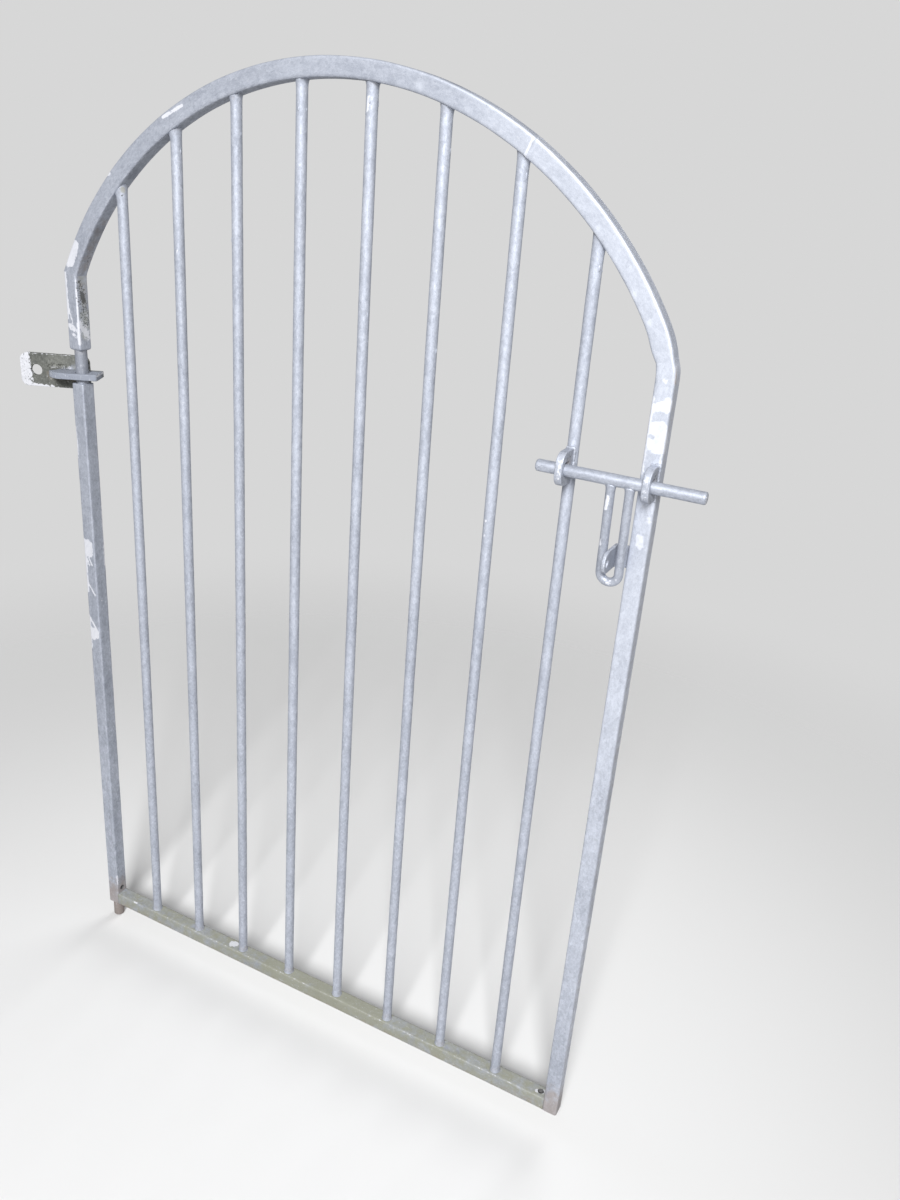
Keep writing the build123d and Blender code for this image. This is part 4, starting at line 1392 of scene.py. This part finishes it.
class GATE_OT_stage(GateOperator, bpy.types.Operator):
    """Lays the floor, and sets the lights, the background and the camera"""

    bl_idname = "gate.stage"
    bl_label = "Stage"

    def make(self, sizes):
        scene = bpy.context.scene
        settings = scene.gate_stage
        self.floor(settings)
        self.background(settings)
        self.lights(settings)
        self.camera()
        scene.view_settings.view_transform = "Standard"

    def floor(self, settings):
        """A round pale floor that fades out into the background."""
        bm = bmesh.new()
        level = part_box("bottom_pivot_pin")[0].z - 0.5 * MM
        middle = Vector((LEAF.middle_x, LEAF.y, level))
        bmesh.ops.create_circle(bm, cap_ends=True, radius=settings.floor_reach, segments=96,
                                matrix=Matrix.Translation(middle))
        floor = object_from(bm, "floor")
        material = bpy.data.materials.new("floor_paint")
        tree = cleared(material)
        place = put(tree, "ShaderNodeTexCoord").outputs["Object"]
        away = vector_math(tree, "DISTANCE", {0: place, 1: middle}).outputs["Value"]
        fade = between(tree, away, settings.floor_reach * 0.10, settings.floor_reach * 0.42)
        hidden = math_node(tree, "MAXIMUM", fade, put(tree, "ShaderNodeNewGeometry").outputs["Backfacing"])
        unlit = times(tree, put(tree, "ShaderNodeLightPath").outputs["Is Diffuse Ray"], 0.6)
        hidden = math_node(tree, "MAXIMUM", hidden, unlit)
        solid = put(tree, "ShaderNodeBsdfPrincipled", {
            "Base Color": linear(settings.floor_colour), "Roughness": 0.9, "Specular IOR Level": 0.1})
        clear = put(tree, "ShaderNodeBsdfTransparent")
        blend = put(tree, "ShaderNodeMixShader", {0: hidden, 1: solid.outputs[0], 2: clear.outputs[0]})
        put(tree, "ShaderNodeOutputMaterial", {"Surface": blend.outputs[0]})
        floor.data.materials.append(material)

    def background(self, settings):
        """Plain light from all round, brighter for the camera and a little brighter for gloss."""
        world = bpy.data.worlds.new("studio")
        bpy.context.scene.world = world
        tree = cleared(world)
        rays = put(tree, "ShaderNodeLightPath")
        seen = math_node(tree, "MAXIMUM", rays.outputs["Is Camera Ray"], rays.outputs["Is Transmission Ray"])
        strength = between(tree, seen, 0.0, 1.0, settings.ambient, settings.backdrop)
        gloss = times(tree, rays.outputs["Is Glossy Ray"], 0.15)
        strength = plus(tree, strength, gloss)
        light = put(tree, "ShaderNodeBackground", {"Color": (1, 1, 1, 1), "Strength": strength})
        put(tree, "ShaderNodeOutputWorld", {"Surface": light.outputs[0]})

    def lights(self, settings):
        """A large soft key from high in front, a narrow accent on the latch side and a low rear light.

        Only the key shows in gloss. The others would burn out the sides that they graze.
        """
        middle, latch_top = LEAF.point(487, 0, 780), LEAF.point(900, 0, 1300)
        for name, offset, aim, size, spread, power in (
                ("key", (2.1, -5.4, 4.0), middle, 2.2, 180, settings.key_power),
                ("accent", (1.2, -2.2, 0.9), latch_top, 0.6, 60, settings.accent_power),
                ("rear", (0.2, 2.8, 1.2), middle, 2.0, 60, settings.rear_power)):
            data = bpy.data.lights.new(name, "AREA")
            data.energy = power
            data.size = size
            data.spread = math.radians(spread)
            lamp = link_object(name, data)
            lamp.location = middle + Vector(offset)
            lamp.rotation_euler = (aim - lamp.location).to_track_quat("-Z", "Y").to_euler()
            lamp.visible_glossy = name == "key"

    def camera(self):
        """The camera at the photograph's place, found from the leaf's own proportions."""
        data = bpy.data.cameras.new("camera")
        data.lens = 29.58
        data.clip_end = 100.0
        camera = link_object("camera", data)
        right = Vector((0.88389, 0.46166, 0.07490))
        up = Vector((-0.24121, 0.31278, 0.91869))
        backward = Vector((0.40069, -0.83009, 0.38782))
        turn = Matrix((right, up, backward)).transposed().to_4x4()
        camera.matrix_world = Matrix.Translation(LEAF.point(1283.8, -1192.5, 1419.8)) @ turn
        bpy.context.scene.camera = camera


PIECES = (GATE_OT_stiles, GATE_OT_arch, GATE_OT_rail, GATE_OT_bars, GATE_OT_pins, GATE_OT_bracket,
          GATE_OT_bolt, GATE_OT_handle, GATE_OT_guides, GATE_OT_staple, GATE_OT_drips, GATE_OT_stage)


class GATE_PT_panel(bpy.types.Panel):
    """The gate's pieces and settings in the sidebar"""

    bl_idname = "GATE_PT_panel"
    bl_label = "Arched gate leaf"
    bl_space_type = "VIEW_3D"
    bl_region_type = "UI"
    bl_category = "Gate"

    def draw(self, context):
        layout = self.layout
        for piece in PIECES:
            layout.operator(piece.bl_idname)
        for settings in (getattr(context.scene, name) for name in SETTINGS):
            box = layout.box()
            for name in settings.__annotations__:
                box.prop(settings, name)


SETTINGS = {"gate_sizes": GateSizes, "gate_colours": GateColours, "gate_stage": GateStage}
CLASSES = (*SETTINGS.values(), *PIECES, GATE_PT_panel)


def register():
    """Makes the classes known and gives the scene their settings."""
    for item in CLASSES:
        bpy.utils.register_class(item)
    for name, settings in SETTINGS.items():
        setattr(bpy.types.Scene, name, PointerProperty(type=settings))


def unregister():
    """Takes the settings and the classes away again."""
    for name in SETTINGS:
        delattr(bpy.types.Scene, name)
    for item in reversed(CLASSES):
        bpy.utils.unregister_class(item)


def main():
    """Draws every piece in order."""
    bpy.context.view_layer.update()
    register()
    for piece in PIECES:
        module, name = piece.bl_idname.split(".")
        getattr(getattr(bpy.ops, module), name)()


if __name__ == "__main__":
    main()
